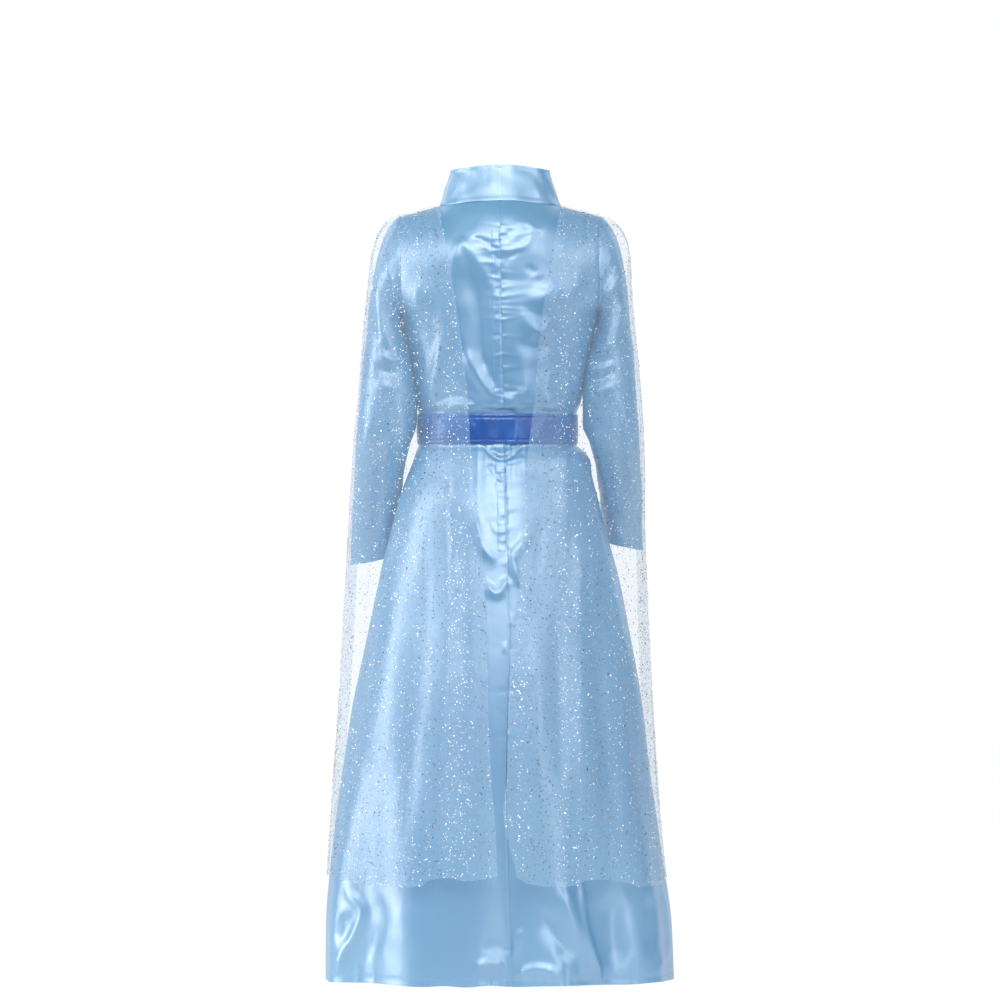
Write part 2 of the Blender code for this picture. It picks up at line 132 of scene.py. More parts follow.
def backHeight(x):
    # The upper back's roll is carried higher towards the nape, so its neckline stays level
    inside = np.clip(1 - (x / neckHalfWidth) ** 2, 0, None)
    return shoulderHeight(x) + 0.028 * inside


def rollEnd(x, neckDepth, spread):
    # How far the shoulder's roll still has to go at the neckline, 0 at the shoulder seam
    inside = np.clip(1 - (x / neckHalfWidth) ** 2, 0, None)
    return np.arcsin(neckDepth * np.sqrt(inside) / (rollDepth * spread))


def bodiceSurface(side, face, neckColumns, shoulderColumns, lowRows, middleRows, rollRows):
    # Rows run up from the waist seam, over the upper back and the shoulder's roll to its seam;
    # columns run out from the centre, and past the neck's corner to the armhole
    neckAngles = np.arcsin(neckHalfWidth * np.sin(np.linspace(0, np.pi / 2, neckColumns))
                           / upperHalfWidth)
    edgeAngle = np.arcsin(armholeX / upperHalfWidth)
    outer = np.linspace(neckAngles[-1], edgeAngle, shoulderColumns)[1:]
    share = np.concatenate([neckAngles, outer]) / edgeAngle
    shoulderX = upperHalfWidth * np.sin(share * edgeAngle)
    top = shoulderHeight(shoulderX) if face > 0 else backHeight(shoulderX)
    low = np.linspace(waistSeam + seamGap / 2, armpitHeight, lowRows)[:, None] + 0 * share
    steps = np.linspace(0, 1, middleRows)[1:, None]
    middle = armpitHeight + steps * (top - rollDrop - armpitHeight)
    heights = np.concatenate([low, middle])
    width = curve(torso, "right" if side > 0 else "left", heights)
    angle = share * np.arcsin(np.minimum(1, armholeX / width))
    x = side * width * np.sin(angle)
    y = face * curve(torso, "front" if face > 0 else "back", heights) * np.cos(angle)
    straight = np.stack([x, y, heights], axis=-1)
    spread = np.cos(share * edgeAngle)
    last = rollEnd(shoulderX, neckDepths["front" if face > 0 else "back"], spread)
    turn = np.pi / 2 + (last - np.pi / 2) * np.linspace(0, 1, rollRows)[1:, None]
    y = face * rollDepth * np.sin(turn) * spread
    z = top - rollDrop * (1 - np.cos(turn))
    rolled = np.stack([side * shoulderX + 0 * turn, y, z], axis=-1)
    return np.concatenate([straight, rolled]), share


def surfaceNormals(points, closed=False):
    # The cross product of the two ways along a grid, turned away from the piece's middle line
    if closed:
        wrapped = np.concatenate([points[:, -1:], points, points[:, :1]], axis=1)
        along = wrapped[:, 2:] - wrapped[:, :-2]
        middle = points.mean(axis=1, keepdims=True)
    else:
        along = np.gradient(points, axis=1)
        middle = points * np.array([0, 0, 1])
    normals = np.cross(along, np.gradient(points, axis=0))
    normals /= np.linalg.norm(normals, axis=2, keepdims=True) + 1e-12
    outward = np.sign((normals * (points - middle)).sum())
    return normals * outward, outward


def pushed(points, lift, closed=False):
    # Points moved out along their normals
    return points + surfaceNormals(points, closed)[0] * lift[..., None]


def facing(points, side, low, high, closed=False):
    # 1 where the cloth faces the back (side -1) or the front (side 1), fading to 0 as it turns
    return smooth(side * surfaceNormals(points, closed)[0][..., 1], low, high)


def photoPlace(points):
    # Pixel that each point has in the photograph
    scale = view["pixelsPerMetre"] * view["distance"] / (view["distance"] + points[..., 1])
    x = view["middle"] + scale * points[..., 0]
    y = view["middle"] - scale * (points[..., 2] - view["height"])
    return x, y


def creases(x, y, rows):
    # Soft ridges and troughs along bowed lines: a bell across each line, fading out at its ends
    lift = 0 * x
    for x0, y0, x1, y1, bend, width, depth in rows:
        length = np.hypot(x1 - x0, y1 - y0)
        along = ((x - x0) * (x1 - x0) + (y - y0) * (y1 - y0)) / length ** 2
        across = ((x - x0) * (y1 - y0) - (y - y0) * (x1 - x0)) / length
        across = across - bend * 4 * along * (1 - along)
        reach = min(0.5, 1.2 * width / length)
        fade = smooth(along, -reach, reach * 0.6) * smooth(1 - along, -reach, reach * 0.6)
        lift = lift + 0.001 * depth * fade * bell(across, width)
    return lift


def bentLine(corners, steps=5):
    # A smooth line through the corners: a Catmull-Rom cubic between each two
    corners = np.array(corners, float)
    ends = np.concatenate([2 * corners[:1] - corners[1:2], corners, 2 * corners[-1:] - corners[-2:-1]])
    line = []
    for before, start, end, after in zip(ends[:-3], ends[1:-2], ends[2:-1], ends[3:]):
        t = np.linspace(0, 1, steps, endpoint=False)[:, None]
        line.append(start + 0.5 * t * (end - before)
                    + 0.5 * t ** 2 * (2 * before - 5 * start + 4 * end - after)
                    + 0.5 * t ** 3 * (3 * start - before - 3 * end + after))
    return np.concatenate(line + [corners[-1:]])


def ridges(x, y, rows):
    # Long folds along bent lines: a bell across the nearest stretch, thinning out at both ends.
    # Each row holds the height, the width, the share of the length that thins out, and corners
    lift = 0 * x
    for depth, width, taper, *corners in rows:
        line = bentLine(np.reshape(corners, (-1, 2)))
        steps = np.diff(line, axis=0)
        lengths = np.hypot(steps[:, 0], steps[:, 1])
        run = np.concatenate([[0], np.cumsum(lengths)])
        nearest = np.full(x.shape, 1e9)
        along = 0 * x
        for corner, step, length, start in zip(line, steps, lengths, run):
            share = (x - corner[0]) * step[0] + (y - corner[1]) * step[1]
            share = np.clip(share / length ** 2, 0, 1)
            away = np.hypot(x - corner[0] - share * step[0], y - corner[1] - share * step[1])
            closer = away < nearest
            nearest = np.where(closer, away, nearest)
            along = np.where(closer, start + share * length, along)
        share = along / run[-1]
        fade = smooth(share, 0, taper) * smooth(1 - share, 0, taper)
        lift = lift + 0.001 * depth * fade * bell(nearest, width * (0.55 + 0.45 * fade))
    return lift


def mounds(x, y, rows):
    # Broad swellings and hollows: a bell over an ellipse, which may be tilted
    lift = 0 * x
    for middleX, middleY, wide, tall, tilt, depth in rows:
        cosine, sine = np.cos(np.radians(tilt)), np.sin(np.radians(tilt))
        across = (x - middleX) * cosine + (y - middleY) * sine
        along = (y - middleY) * cosine - (x - middleX) * sine
        lift = lift + 0.001 * depth * np.exp(-(across / wide) ** 2 - (along / tall) ** 2)
    return lift


def puckers(x, y, seamX, heights, seed, reach=(7, 13), depth=(0.5, 1.1), width=(1.3, 2.1)):
    # Short ridges that a tight seam draws across the cloth, strongest at the seam, each with
    # its own slope, length and height
    chance = np.random.default_rng(seed)
    lift = 0 * x
    away = np.abs(x - seamX)
    for height in heights:
        slope = chance.uniform(-0.25, 0.25)
        long = chance.uniform(*reach)
        tall = chance.uniform(*depth) * chance.choice((1, 1, -0.7))
        wide = chance.uniform(*width)
        lift = lift + 0.001 * tall * bell(y - height - slope * away, wide) * np.exp(-away / long)
    return lift


def rumple(u, v, seed, size, depth, stretch=1.0, count=24):
    # Slow unevenness of worn satin: a sum of a few dozen plain waves of about one size in
    # scattered directions
    chance = np.random.default_rng(seed)
    lift = 0 * u
    for wave in range(count):
        heading = chance.uniform(0, np.pi)
        pitch = size * chance.uniform(0.6, 1.8)
        phase = chance.uniform(0, 2 * np.pi)
        lift = lift + np.sin(2 * np.pi * (np.cos(heading) * u + np.sin(heading) * v / stretch)
                             / pitch + phase)
    return depth * lift / np.sqrt(count)


# ---- Shader sums ----
def feed(shader, values):
    # Numbers go on the shader's own sockets, shades are linked to them
    for key, value in values.items():
        if isinstance(value, Shade):
            value.tree.links.new(value.socket, shader.inputs[key])
        else:
            shader.inputs[key].default_value = value


class Shade:
    # A shader socket that can be used in sums
    def __init__(self, tree, socket=None):
        self.tree = tree
        self.socket = socket

    def node(self, kind, settings=None, values=None, out=0):
        made = self.tree.nodes.new("ShaderNode" + kind)
        for key, value in (settings or {}).items():
            setattr(made, key, value)
        feed(made, values or {})
        return Shade(self.tree, made.outputs[out])

    def noise(self, scale, detail, roughness=0.5):
        # Noise at the place that this shade gives
        return self.node("TexNoise", values={"Vector": self, "Scale": scale, "Detail": detail,
                                             "Roughness": roughness})

    def sum(self, operation, *parts):
        return self.node("Math", {"operation": operation}, dict(enumerate(parts)))

    def mix(self, factor, low, high):
        return self.node("Mix", {"data_type": "RGBA"}, {0: factor, 6: low, 7: high}, 2)

    def ramp(self, low, high):
        settings = {"interpolation_type": "SMOOTHSTEP"}
        return self.node("MapRange", settings, {"Value": self, "From Min": low, "From Max": high})

    def __add__(self, other):
        return self.sum("ADD", self, other)

    def __radd__(self, other):
        return self.sum("ADD", other, self)

    def __sub__(self, other):
        return self.sum("SUBTRACT", self, other)

    def __rmul__(self, other):
        return self.sum("MULTIPLY", other, self)


def newMaterial(name):
    # A material, its Principled shader, and an empty shade to start sums from
    material = bpy.data.materials.new(name)
    material.use_nodes = True
    shader = material.node_tree.nodes["Principled BSDF"]
    return material, shader, Shade(material.node_tree)


def colour(red, green, blue):
    # Linear colour of a screen colour from 0 to 255
    share = np.array([red, green, blue]) / 255
    linear = np.where(share <= 0.04045, share / 12.92, ((share + 0.055) / 1.055) ** 2.4)
    return (*linear.tolist(), 1.0)


def satinMaterial(name, look):
    # Smooth glossy cloth: its colour wanders softly, its gloss breaks up with fine threads, and
    # small soft dents bend the light
    material, shader, start = newMaterial(name)
    place = start.node("TexCoord", out=3)
    drift = place.noise(look["driftScale"], 3.0)
    fine = place.noise(900.0, 1.0)
    drawn = start.node("Mapping", values={"Vector": place, "Scale": (1.0, 1.0, 0.45)})
    dents = drawn.noise(look["dentScale"], 2.0, 0.45)
    bump = start.node("Bump", values={"Height": dents + 0.03 * fine, "Strength": 1.0,
                                      "Distance": look["dentDepth"]})
    feed(shader, {
        "Base Color": start.mix(drift.ramp(0.35, 0.65), look["deep"], look["light"]),
        "Roughness": look["roughness"] + 0.08 * fine,
        "Metallic": look["metallic"],
        "IOR": look["ior"],
        "Specular IOR Level": look["specular"],
        "Normal": bump,
    })
    return material


satinLook = {
    "deep": colour(90, 148, 192), "light": colour(103, 159, 198), "driftScale": 5.0,
    "dentScale": 50.0, "dentDepth": 0.0008, "roughness": 0.34, "metallic": 0.1, "ior": 2.1,
    "specular": 0.75,
}
beltLook = {
    "deep": colour(16, 78, 158), "light": colour(28, 100, 182), "driftScale": 18.0,
    "dentScale": 60.0, "dentDepth": 0.0007, "roughness": 0.30, "metallic": 0.1, "ior": 1.7,
    "specular": 0.6,
}
stripLook = dict(satinLook, light=colour(102, 160, 204), deep=colour(88, 148, 196))
netLook = {
    "colour": colour(168, 203, 231),
    "clear": 0.24,          # how much of the light the flat net stops
    "folded": 0.28,         # and how much more where it is folded or doubled
    "roughness": 0.55,
}
# The near-white flake colour is a painted glint
flakeGlintLook = {
    "paintedGlint": colour(248, 250, 255), "dull": colour(150, 158, 172), "brown": colour(96, 92, 98),
}


def netMaterial(name, look):
    # Sheer net that lets most light through, denser where the density attribute says
    material, shader, start = newMaterial(name)
    density = start.node("Attribute", {"attribute_name": "density"}, out=2)
    place = start.node("TexCoord", out=3)
    threads = place.noise(700.0, 1.0)
    feed(shader, {
        "Base Color": look["colour"],
        "Roughness": look["roughness"],
        "Sheen Weight": 0.3,
        "Specular IOR Level": 0.4,
        "Alpha": look["clear"] + look["folded"] * density + 0.08 * (threads - 0.5),
    })
    return material


def flakeMaterial(name, look):
    # Foil flakes: near-white, dull or brownish by each one's own tone; the near-white ones are painted
    # glints, beside the real glints that each flake's tilt catches
    material, shader, start = newMaterial(name)
    glintTone = start.node("Attribute", {"attribute_name": "glintTone"}, out=2)
    dark = start.mix(glintTone.ramp(0.02, 0.3), look["brown"], look["dull"])
    feed(shader, {
        "Base Color": start.mix(glintTone.ramp(0.58, 0.74), dark, look["paintedGlint"]),
        "Metallic": 0.3,
        "Roughness": 0.3,
    })
    return material


def threadMaterial(name, tint):
    material, shader, start = newMaterial(name)
    feed(shader, {"Base Color": tint, "Roughness": 0.55, "Sheen Weight": 0.2})
    return material


# The material of each slot
cloths = {
    "satin": satinMaterial("pale blue satin", satinLook),
    "belt_satin": satinMaterial("royal blue satin", beltLook),
    "closing_strip": satinMaterial("closing strip satin", stripLook),
    "sheer_glitter": netMaterial("sheer net", netLook),
}
flakes = flakeMaterial("foil flakes", flakeGlintLook)
paleThread = threadMaterial("pale blue thread", colour(150, 192, 230))
blueThread = threadMaterial("royal blue thread", colour(60, 112, 190))
print("materials made")


# ---- Making pieces ----
def unit(vectors):
    return vectors / np.linalg.norm(vectors, axis=-1, keepdims=True)


def runAlong(path, extra=0.0):
    # Length along a path up to each of its points
    steps = np.linalg.norm(np.diff(path, axis=0), axis=1) + extra
    return np.concatenate([[0], np.cumsum(steps)])


def follow(at, run, values):
    # Points or normals at given lengths along a path
    return np.stack([np.interp(at, run, values[:, axis]) for axis in range(3)], axis=-1)


def meshFrom(name, points, faces):
    # Points above the hem's level, moved down into the shared frame
    mesh = bpy.data.meshes.new(name)
    places = points.reshape(-1, 3) - np.array([0, 0, neckHeight])
    mesh.from_pydata(places.tolist(), [], faces)
    return mesh


def placeMesh(name, mesh, material):
    mesh.materials.append(material)
    piece = bpy.data.objects.new(name, mesh)
    bpy.context.scene.collection.objects.link(piece)
    return piece


def gridUv(points):
    # Metres along the middle row and the middle column
    rows, columns = points.shape[:2]
    u = runAlong(points[rows // 2])
    v = runAlong(points[:, columns // 2])
    return np.stack(np.broadcast_arrays(u[None, :], v[:, None]), axis=-1)


def clothPiece(name, node, points, slot, wall, flat, held, closed=False, density=None, **ties):
    # A grid of points becomes a smooth surface in a solid's place. Its thickness lies on the
    # inner side; the width, length and area of its cut that it is given are not used
    rows, columns = points.shape[:2]
    index = np.arange(rows * columns).reshape(rows, columns)
    around = points
    if closed:
        index = np.concatenate([index, index[:, :1]], axis=1)
        around = np.concatenate([points, points[:, :1]], axis=1)
    uv = gridUv(around)
    uvIndex = np.arange(uv.shape[0] * uv.shape[1]).reshape(uv.shape[:2])
    outward = surfaceNormals(points, closed)[1]
    corners = []
    for grid in (index, uvIndex):
        quads = np.stack([grid[:-1, :-1], grid[:-1, 1:], grid[1:, 1:], grid[1:, :-1]], axis=-1)
        corners.append(quads.reshape(-1, 4)[:, ::int(outward)])
    mesh = meshFrom(name, points, corners[0].tolist())
    layer = mesh.uv_layers.new(name="UVMap")
    layer.data.foreach_set("uv", uv.reshape(-1, 2)[corners[1].ravel()].ravel())
    if density is not None:
        mesh.attributes.new("density", "FLOAT", "POINT").data.foreach_set("value", density.ravel())
    mesh.shade_smooth()
    # Rims are sharp, so that cloth shades evenly up to its seams
    ends = np.zeros(len(mesh.edges) * 2, int)
    mesh.edges.foreach_get("vertices", ends)
    row, column = ends.reshape(-1, 2) // columns, ends.reshape(-1, 2) % columns
    rim = (row == 0).all(axis=1) | (row == rows - 1).all(axis=1)
    if not closed:
        rim |= (column == 0).all(axis=1) | (column == columns - 1).all(axis=1)
    mesh.attributes.new("sharp_edge", "BOOLEAN", "EDGE").data.foreach_set("value", rim)
    piece = placeMesh(name, mesh, cloths[slot])
    if wall:
        shell = piece.modifiers.new("Wall", "SOLIDIFY")
        shell.thickness = wall
        shell.offset = -1
    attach(piece, "root")
    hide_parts(node)


def stitchRow(name, paths, material, length=0.0024, pitch=0.0034, radius=0.00032):
    # A row of short threads along each path of points and normals, as one mesh: each stitch is
    # a bead of four rings with six corners
    turns = np.linspace(0, 2 * np.pi, 7)[:-1][:, None]
    ringAlong = np.array([-0.5, -0.32, 0.32, 0.5])[:, None, None]
    ringSize = np.array([0.25, 1.0, 1.0, 0.25])[:, None, None]
    vertices, faces = [], []
    for points, normals in paths:
        run = runAlong(points)
        at = np.arange(pitch / 2, run[-1], pitch)
        way = unit(follow(at + 0.0005, run, points) - follow(at - 0.0005, run, points))
        up = follow(at, run, normals)
        up = unit(up - way * (up * way).sum(axis=1, keepdims=True))
        side = np.cross(way, up)
        middle, way, side, up = (part[:, None, None, :]
                                 for part in (follow(at, run, points), way, side, up))
        turned = np.cos(turns) * side + np.sin(turns) * up
        ring = middle + way * (ringAlong * length) + radius * ringSize * turned
        index = len(faces) // 20 * 24 + np.arange(len(at) * 24).reshape(-1, 4, 6)
        after = np.roll(index, -1, axis=2)
        quads = np.stack([index[:, :-1], after[:, :-1], after[:, 1:], index[:, 1:]], axis=-1)
        vertices.append(ring.reshape(-1, 3))
        faces += quads.reshape(-1, 4).tolist()
        faces += index[:, 0, ::-1].tolist() + index[:, 3].tolist()
    mesh = meshFrom(name, np.concatenate(vertices), faces)
    mesh.shade_smooth()
    piece = placeMesh(name, mesh, material)
    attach(piece, "root")


# ---- Bodice ----
bodice = {
    "wall": 0.0009, "rumple": (0.05, 0.0003), "seamDip": 0.0007,
    "backFlat": (0.17, 0.34, 0.048),      # width, length and cut area of each half
    "frontFlat": (0.34, 0.34, 0.095),
}
backCreases = numbers("""
    501,240 528,228 3 4 -2 / 499,262 476,238 -5 4 -2 / 505,250 532,239 -4 3 1.5
    505,262 517,250 0 3 -1.2 / 485,246 499,254 0 2.5 1 / 482,261 499,265 0 2.5 .8
    528,267 534,273 0 4 -1.2 / 537,280 545,288 0 5 -1.2 / 518,412 530,402 0 3 1
    551,392 551,414 0 12 3
""")
backRidges = numbers("""
    2.8 6 .35 454,300 455,262 463,244 478,262 490,285 500,305
    -3.2 8 .35 468,258 476,300 480,345 477,398 / 2.4 6 .3 505,236 522,229 545,232
    2 9 .35 524,292 538,300 552,292 563,278 / 2.6 7 .35 519,304 528,322 541,332 552,316
    -2.4 8 .4 512,340 526,346 545,346 556,330 / 3 5 .3 464,344 472,366 484,386 497,404
    -2.4 6 .35 482,350 489,372 498,392 / 2.2 5 .35 506,414 514,398 530,388
    2.2 12 .4 514,346 522,372 520,400 / -3 5 .3 484,411 470,398 448,396 430,404
    2.4 4 .3 478,414 462,407 444,408 / 2.6 6 .35 428,414 430,392 438,366 440,330
    2.4 8 .4 424,268 418,300 420,340 / -2.2 8 .4 436,270 434,320 430,372
    2.6 8 .4 578,262 572,300 570,340 / -2.4 8 .4 562,296 560,345 565,396
    2.2 6 .35 549,414 546,392 552,366 / 2 5 .35 583,412 578,384 582,352
""")
backMounds = numbers("""
    548,292 26 24 15 5 / 566,290 16 16 0 2 / 462,262 14 18 -10 3 / 478,318 9 46 -6 -3
    424,300 18 24 8 4.5 / 440,322 14 18 0 2 / 526,372 22 20 0 -3 / 538,330 12 8 0 1.6
    452,392 16 18 0 -3 / 566,372 14 30 0 2.6 / 530,222 30 12 0 1.8 / 466,222 26 12 0 -1.6
    551,404 12 8 0 2.6 / 505,404 10 9 0 2 / 478,372 7 34 -24 3.2
""")
frontRidges = numbers("""
    2.4 9 .4 468,258 455,300 452,345 / 2.6 9 .4 532,256 548,296 550,340
    -2.4 9 .4 470,340 478,372 476,404 / 2.2 7 .35 505,412 514,386 530,360
    -2.2 8 .4 545,350 536,380 538,408 / 2.4 7 .4 426,410 430,370 424,325
    2.4 7 .4 576,408 570,372 577,330 / 1.8 6 .35 480,290 500,300 522,292
""")
frontCreases = numbers("""
    470,262 455,330 4 8 1.8 / 530,258 548,335 -5 8 1.8 / 455,345 470,408 0 7 -1.8
    545,340 528,406 0 7 -1.8 / 490,300 512,306 -6 6 -1.2 / 425,330 430,412 3 7 1.8
    576,325 570,410 -3 7 1.8 / 480,402 486,380 0 4 1.4 / 505,410 510,386 0 4 -1.4
    522,408 531,390 0 4 1.4 / 448,408 440,388 0 4 -1.3 / 560,408 566,390 0 4 1.3
    465,240 492,250 -5 4 1 / 535,238 508,249 5 4 1
""")
bodicePuckers = (226, 232, 238, 246, 250, 262, 272, 279, 288, 297, 303, 308, 313, 320, 336,
                 354, 368, 374, 387, 391, 397, 402, 406, 410)


def waistGathers(points, seed, low=waistSeam, tall=0.03, depth=0.0009):
    # Short upright pleats that the waist seam draws into the cloth
    chance = np.random.default_rng(seed)
    x, z = points[..., 0], points[..., 2]
    lift = 0 * x
    for place in np.arange(-0.12, 0.12, 0.011):
        at = place + chance.uniform(-0.004, 0.004)
        high = tall * chance.uniform(0.4, 1.2)
        lift = lift + (depth * chance.uniform(0.3, 1.2) * bell(x - at, 0.0028)
                       * np.exp(-np.abs(z - low) / high))
    return lift


def lieOver(path, out):
    # Threads lie a little over the cloth
    return path + out * threadLift, out


def rowRound(points, normals, row):
    # One row of a tube, closed on itself
    return lieOver(*(np.concatenate([grid[row], grid[row, :1]]) for grid in (points, normals)))


def wornBodice(points, lift, seeds):
    # What both faces of the bodice have: gathers, unevenness, and a dip at the armhole's seam
    x, z = points[..., 0], points[..., 2]
    lift += waistGathers(points, seeds[0])
    lift += rumple(x, z, seeds[1], *bodice["rumple"])
    lift -= 0.0003 * bell(np.abs(x) - armholeX, 0.003) * (z > 0.9)
    return pushed(points, lift)


def makeBodiceBack(name, node, side, seed):
    neckColumns = 44
    points, share = bodiceSurface(side, -1, neckColumns, 18, 92, 42, 58)
    x, y = photoPlace(points)
    wandering = curve(seamLine, "x", points[..., 2])
    shiftedX = x + wandering * view["pixelsPerMetre"] * (1 - share) ** 2
    lift = creases(shiftedX, y, backCreases) + mounds(shiftedX, y, backMounds)
    lift += ridges(shiftedX, y, backRidges)
    lift *= facing(points, -1, 0.15, 0.6) * smooth(points[..., 2], 0.780, 0.795)
    lift += puckers(x, y, view["middle"], bodicePuckers, seed)
    lift -= bodice["seamDip"] * bell(points[..., 0], 0.0018)
    points = wornBodice(points, lift, (seed + 5, seed + 1))
    points[..., 0] += wandering * (1 - share) ** 2
    points[-1, neckColumns - 1:, 1] = -seamGap / 2
    clothPiece(name, node, points, "satin", bodice["wall"], bodice["backFlat"], "stretched")
    return points


def makeBodiceFront():
    left, share = bodiceSurface(-1, 1, 24, 12, 60, 26, 36)
    right, share = bodiceSurface(1, 1, 24, 12, 60, 26, 36)
    points = np.concatenate([left[:, :0:-1], right], axis=1)
    x, y = photoPlace(points)
    lift = creases(x, y, frontCreases) + ridges(x, y, frontRidges)
    lift *= facing(points, 1, 0.15, 0.6)
    points = wornBodice(points, lift, (71, 72))
    corner = len(left[0]) - 24
    points[-1, :corner + 1, 1] = seamGap / 2
    points[-1, -corner - 1:, 1] = seamGap / 2
    clothPiece("bodiceFront", "bodice_front", points, "satin", bodice["wall"],
               bodice["frontFlat"], "stretched")


bodiceLeft = makeBodiceBack("bodiceBackLeft", "bodice_back_left", -1, 11)
makeBodiceBack("bodiceBackRight", "bodice_back_right", 1, 21)
makeBodiceFront()
print("bodice made")

# ---- Collar ----
collar = {
    "rise": 0.050, "lean": 0.016, "wall": 0.0014,
    "edgeRoll": 0.0006,      # how much thicker the top edge is
    "flat": (0.46, 0.052, 0.0225),
}


def makeCollar():
    # The neckline goes up and leans in; its edges are a little thicker, with faint waves
    turns = np.linspace(0, 2 * np.pi, 281)
    back = np.cos(turns) > 0
    depth = np.where(back, neckDepths["back"], neckDepths["front"])
    x = neckHalfWidth * np.sin(turns)
    y = -depth * np.cos(turns)
    last = rollEnd(x, depth, np.sqrt(1 - (x / upperHalfWidth) ** 2))
    top = np.where(back, backHeight(x), shoulderHeight(x))
    base = np.stack([x, y, top - rollDrop * (1 - np.cos(last))], axis=-1)
    share = np.linspace(0, 1, 26)[:, None]
    lean = 1 - collar["lean"] * share / np.hypot(x, y)
    points = np.stack([x * lean, y * lean, base[:, 2] + seamGap + collar["rise"] * share], axis=-1)
    points[:, 0, 0] += seamGap / 2
    points[:, -1, 0] -= seamGap / 2
    normals = surfaceNormals(points)[0]
    lift = collar["edgeRoll"] * smooth(share, 0.9, 0.97) + 0 * x
    lift += 0.0005 * np.sin(turns * 9 + 5 * share) * share * (1 - share) * 4
    lift += rumple(turns * 0.08, share * 0.05 + 0 * x, 31, 0.03, 0.00025)
    lift += 0.0006 * bell(share - 0.05, 0.05)
    points = pushed(points, lift)
    clothPiece("collarStand", "collar", points, "satin", collar["wall"], collar["flat"],
               "stretched", rests_on=["bodiceBackLeft", "bodiceBackRight", "bodiceFront"])
    return points, normals


collarPoints, collarNormals = makeCollar()

# ---- Sleeves ----
sleeve = {
    "wall": 0.0009, "columns": 92, "rows": 150, "rumple": (0.07, 0.0006),
    "elbowHeight": 0.770, "cuffLift": {"left": 0.0, "right": 0.021},
    "trim": {"left": 0.0, "right": 0.010},
    "hem": 0.007,              # from the cuff's edge to its stitching
    "flat": (0.28, 0.50, 0.104),
}
# From the armhole to the cuff, as if for the left side turned to +X: nearest and farthest
# points from the body, the middle from back to front, half the depth, the rise of the front
# edge, and how much of the armhole's outline is kept
sleeveRings = table("innerX innerHeight outerX outerHeight middleY halfDepth rise hold", """
    .1372 .915 .1372 1.058 0 .05 0 1 / .1382 .915 .1384 1.058 0 .05 0 1
    .1374 .913 .154 1.043 0 .05 0 .5 / .1356 .909 .167 1.014 0 .05 0 .2
    .134 .904 .1755 .976 -.001 .049 0 0 / .1322 .897 .1808 .938 -.003 .047 0 0
    .1292 .885 .1852 .898 -.006 .045 0 0 / .1226 .862 .1888 .866 -.01 .043 0 0
    .1172 .832 .1918 .833 -.015 .041 0 0 / .1144 .8 .1948 .799 -.019 .039 0 0
    .1148 .77 .1975 .768 -.018 .039 .002 0 / .125 .74 .1998 .738 -.01 .038 .005 0
    .1325 .706 .2022 .702 .012 .036 .008 0 / .1375 .668 .2046 .662 .036 .035 .007 0
    .1415 .631 .2068 .623 .056 .034 .004 0 / .1445 .6 .2086 .589 .071 .033 .002 0
    .146 .5865 .2096 .5735 .077 .033 .002 0
""")
leftSleeveRidges = numbers("""
    2.6 4 .3 386,248 389,270 394,290 392,312 / 3 6 .3 380,262 377,290 380,318 388,342 402,356
    -2.6 4 .3 398,244 400,280 396,320 402,344 / -2.4 5 .35 371,296 372,325 380,350
    2.6 4 .3 378,350 390,360 408,357 / -2.2 5 .35 374,364 388,372 404,370
    2.2 6 .35 372,384 386,386 402,392 / -2 6 .35 394,398 396,430 393,470
    2.4 7 .35 372,400 366,450 366,510 / -2 7 .35 384,440 378,490 374,545
    1.8 5 .35 392,492 386,520 382,556
""")
rightSleeveRidges = numbers("""
    2.8 4 .3 606,238 617,246 624,262 616,282 604,300 597,322 / -2.6 4 .3 612,256 609,274 601,292
    1.6 2.5 .3 610,250 611,275 / 3.2 6 .3 627,290 618,322 608,346 592,366
    2.6 4 .3 577,358 588,367 604,369 618,360 / -2.8 4 .3 599,308 592,330 584,350
    -2.6 5 .3 586,378 600,378 618,368 / 2.2 5 .35 588,392 604,390 622,382
    -2.2 7 .35 616,396 621,450 622,516 / 2.4 4 .3 625,400 630,450 636,528
    2.6 5 .3 592,424 600,456 606,488 606,512 / 2 5 .35 612,512 618,532 628,542
""")
frontSleeveRidges = numbers("""
    2.8 6 .3 612,246 604,276 600,312 / 2.8 5 .3 598,332 612,344 630,342
    -2.6 5 .3 600,350 614,360 630,356 / 2.6 5 .3 596,366 612,374 628,372
    -2.2 5 .3 602,388 618,392 632,386 / 2.2 7 .35 622,408 628,460 628,515
    -2.2 6 .35 606,426 612,470 612,525
""")


def resample(loop, count):
    # Even points round a closed loop, from its first
    around = np.concatenate([loop, loop[:1]])
    run = runAlong(around)
    return follow(np.arange(count) * run[-1] / count, run, around)


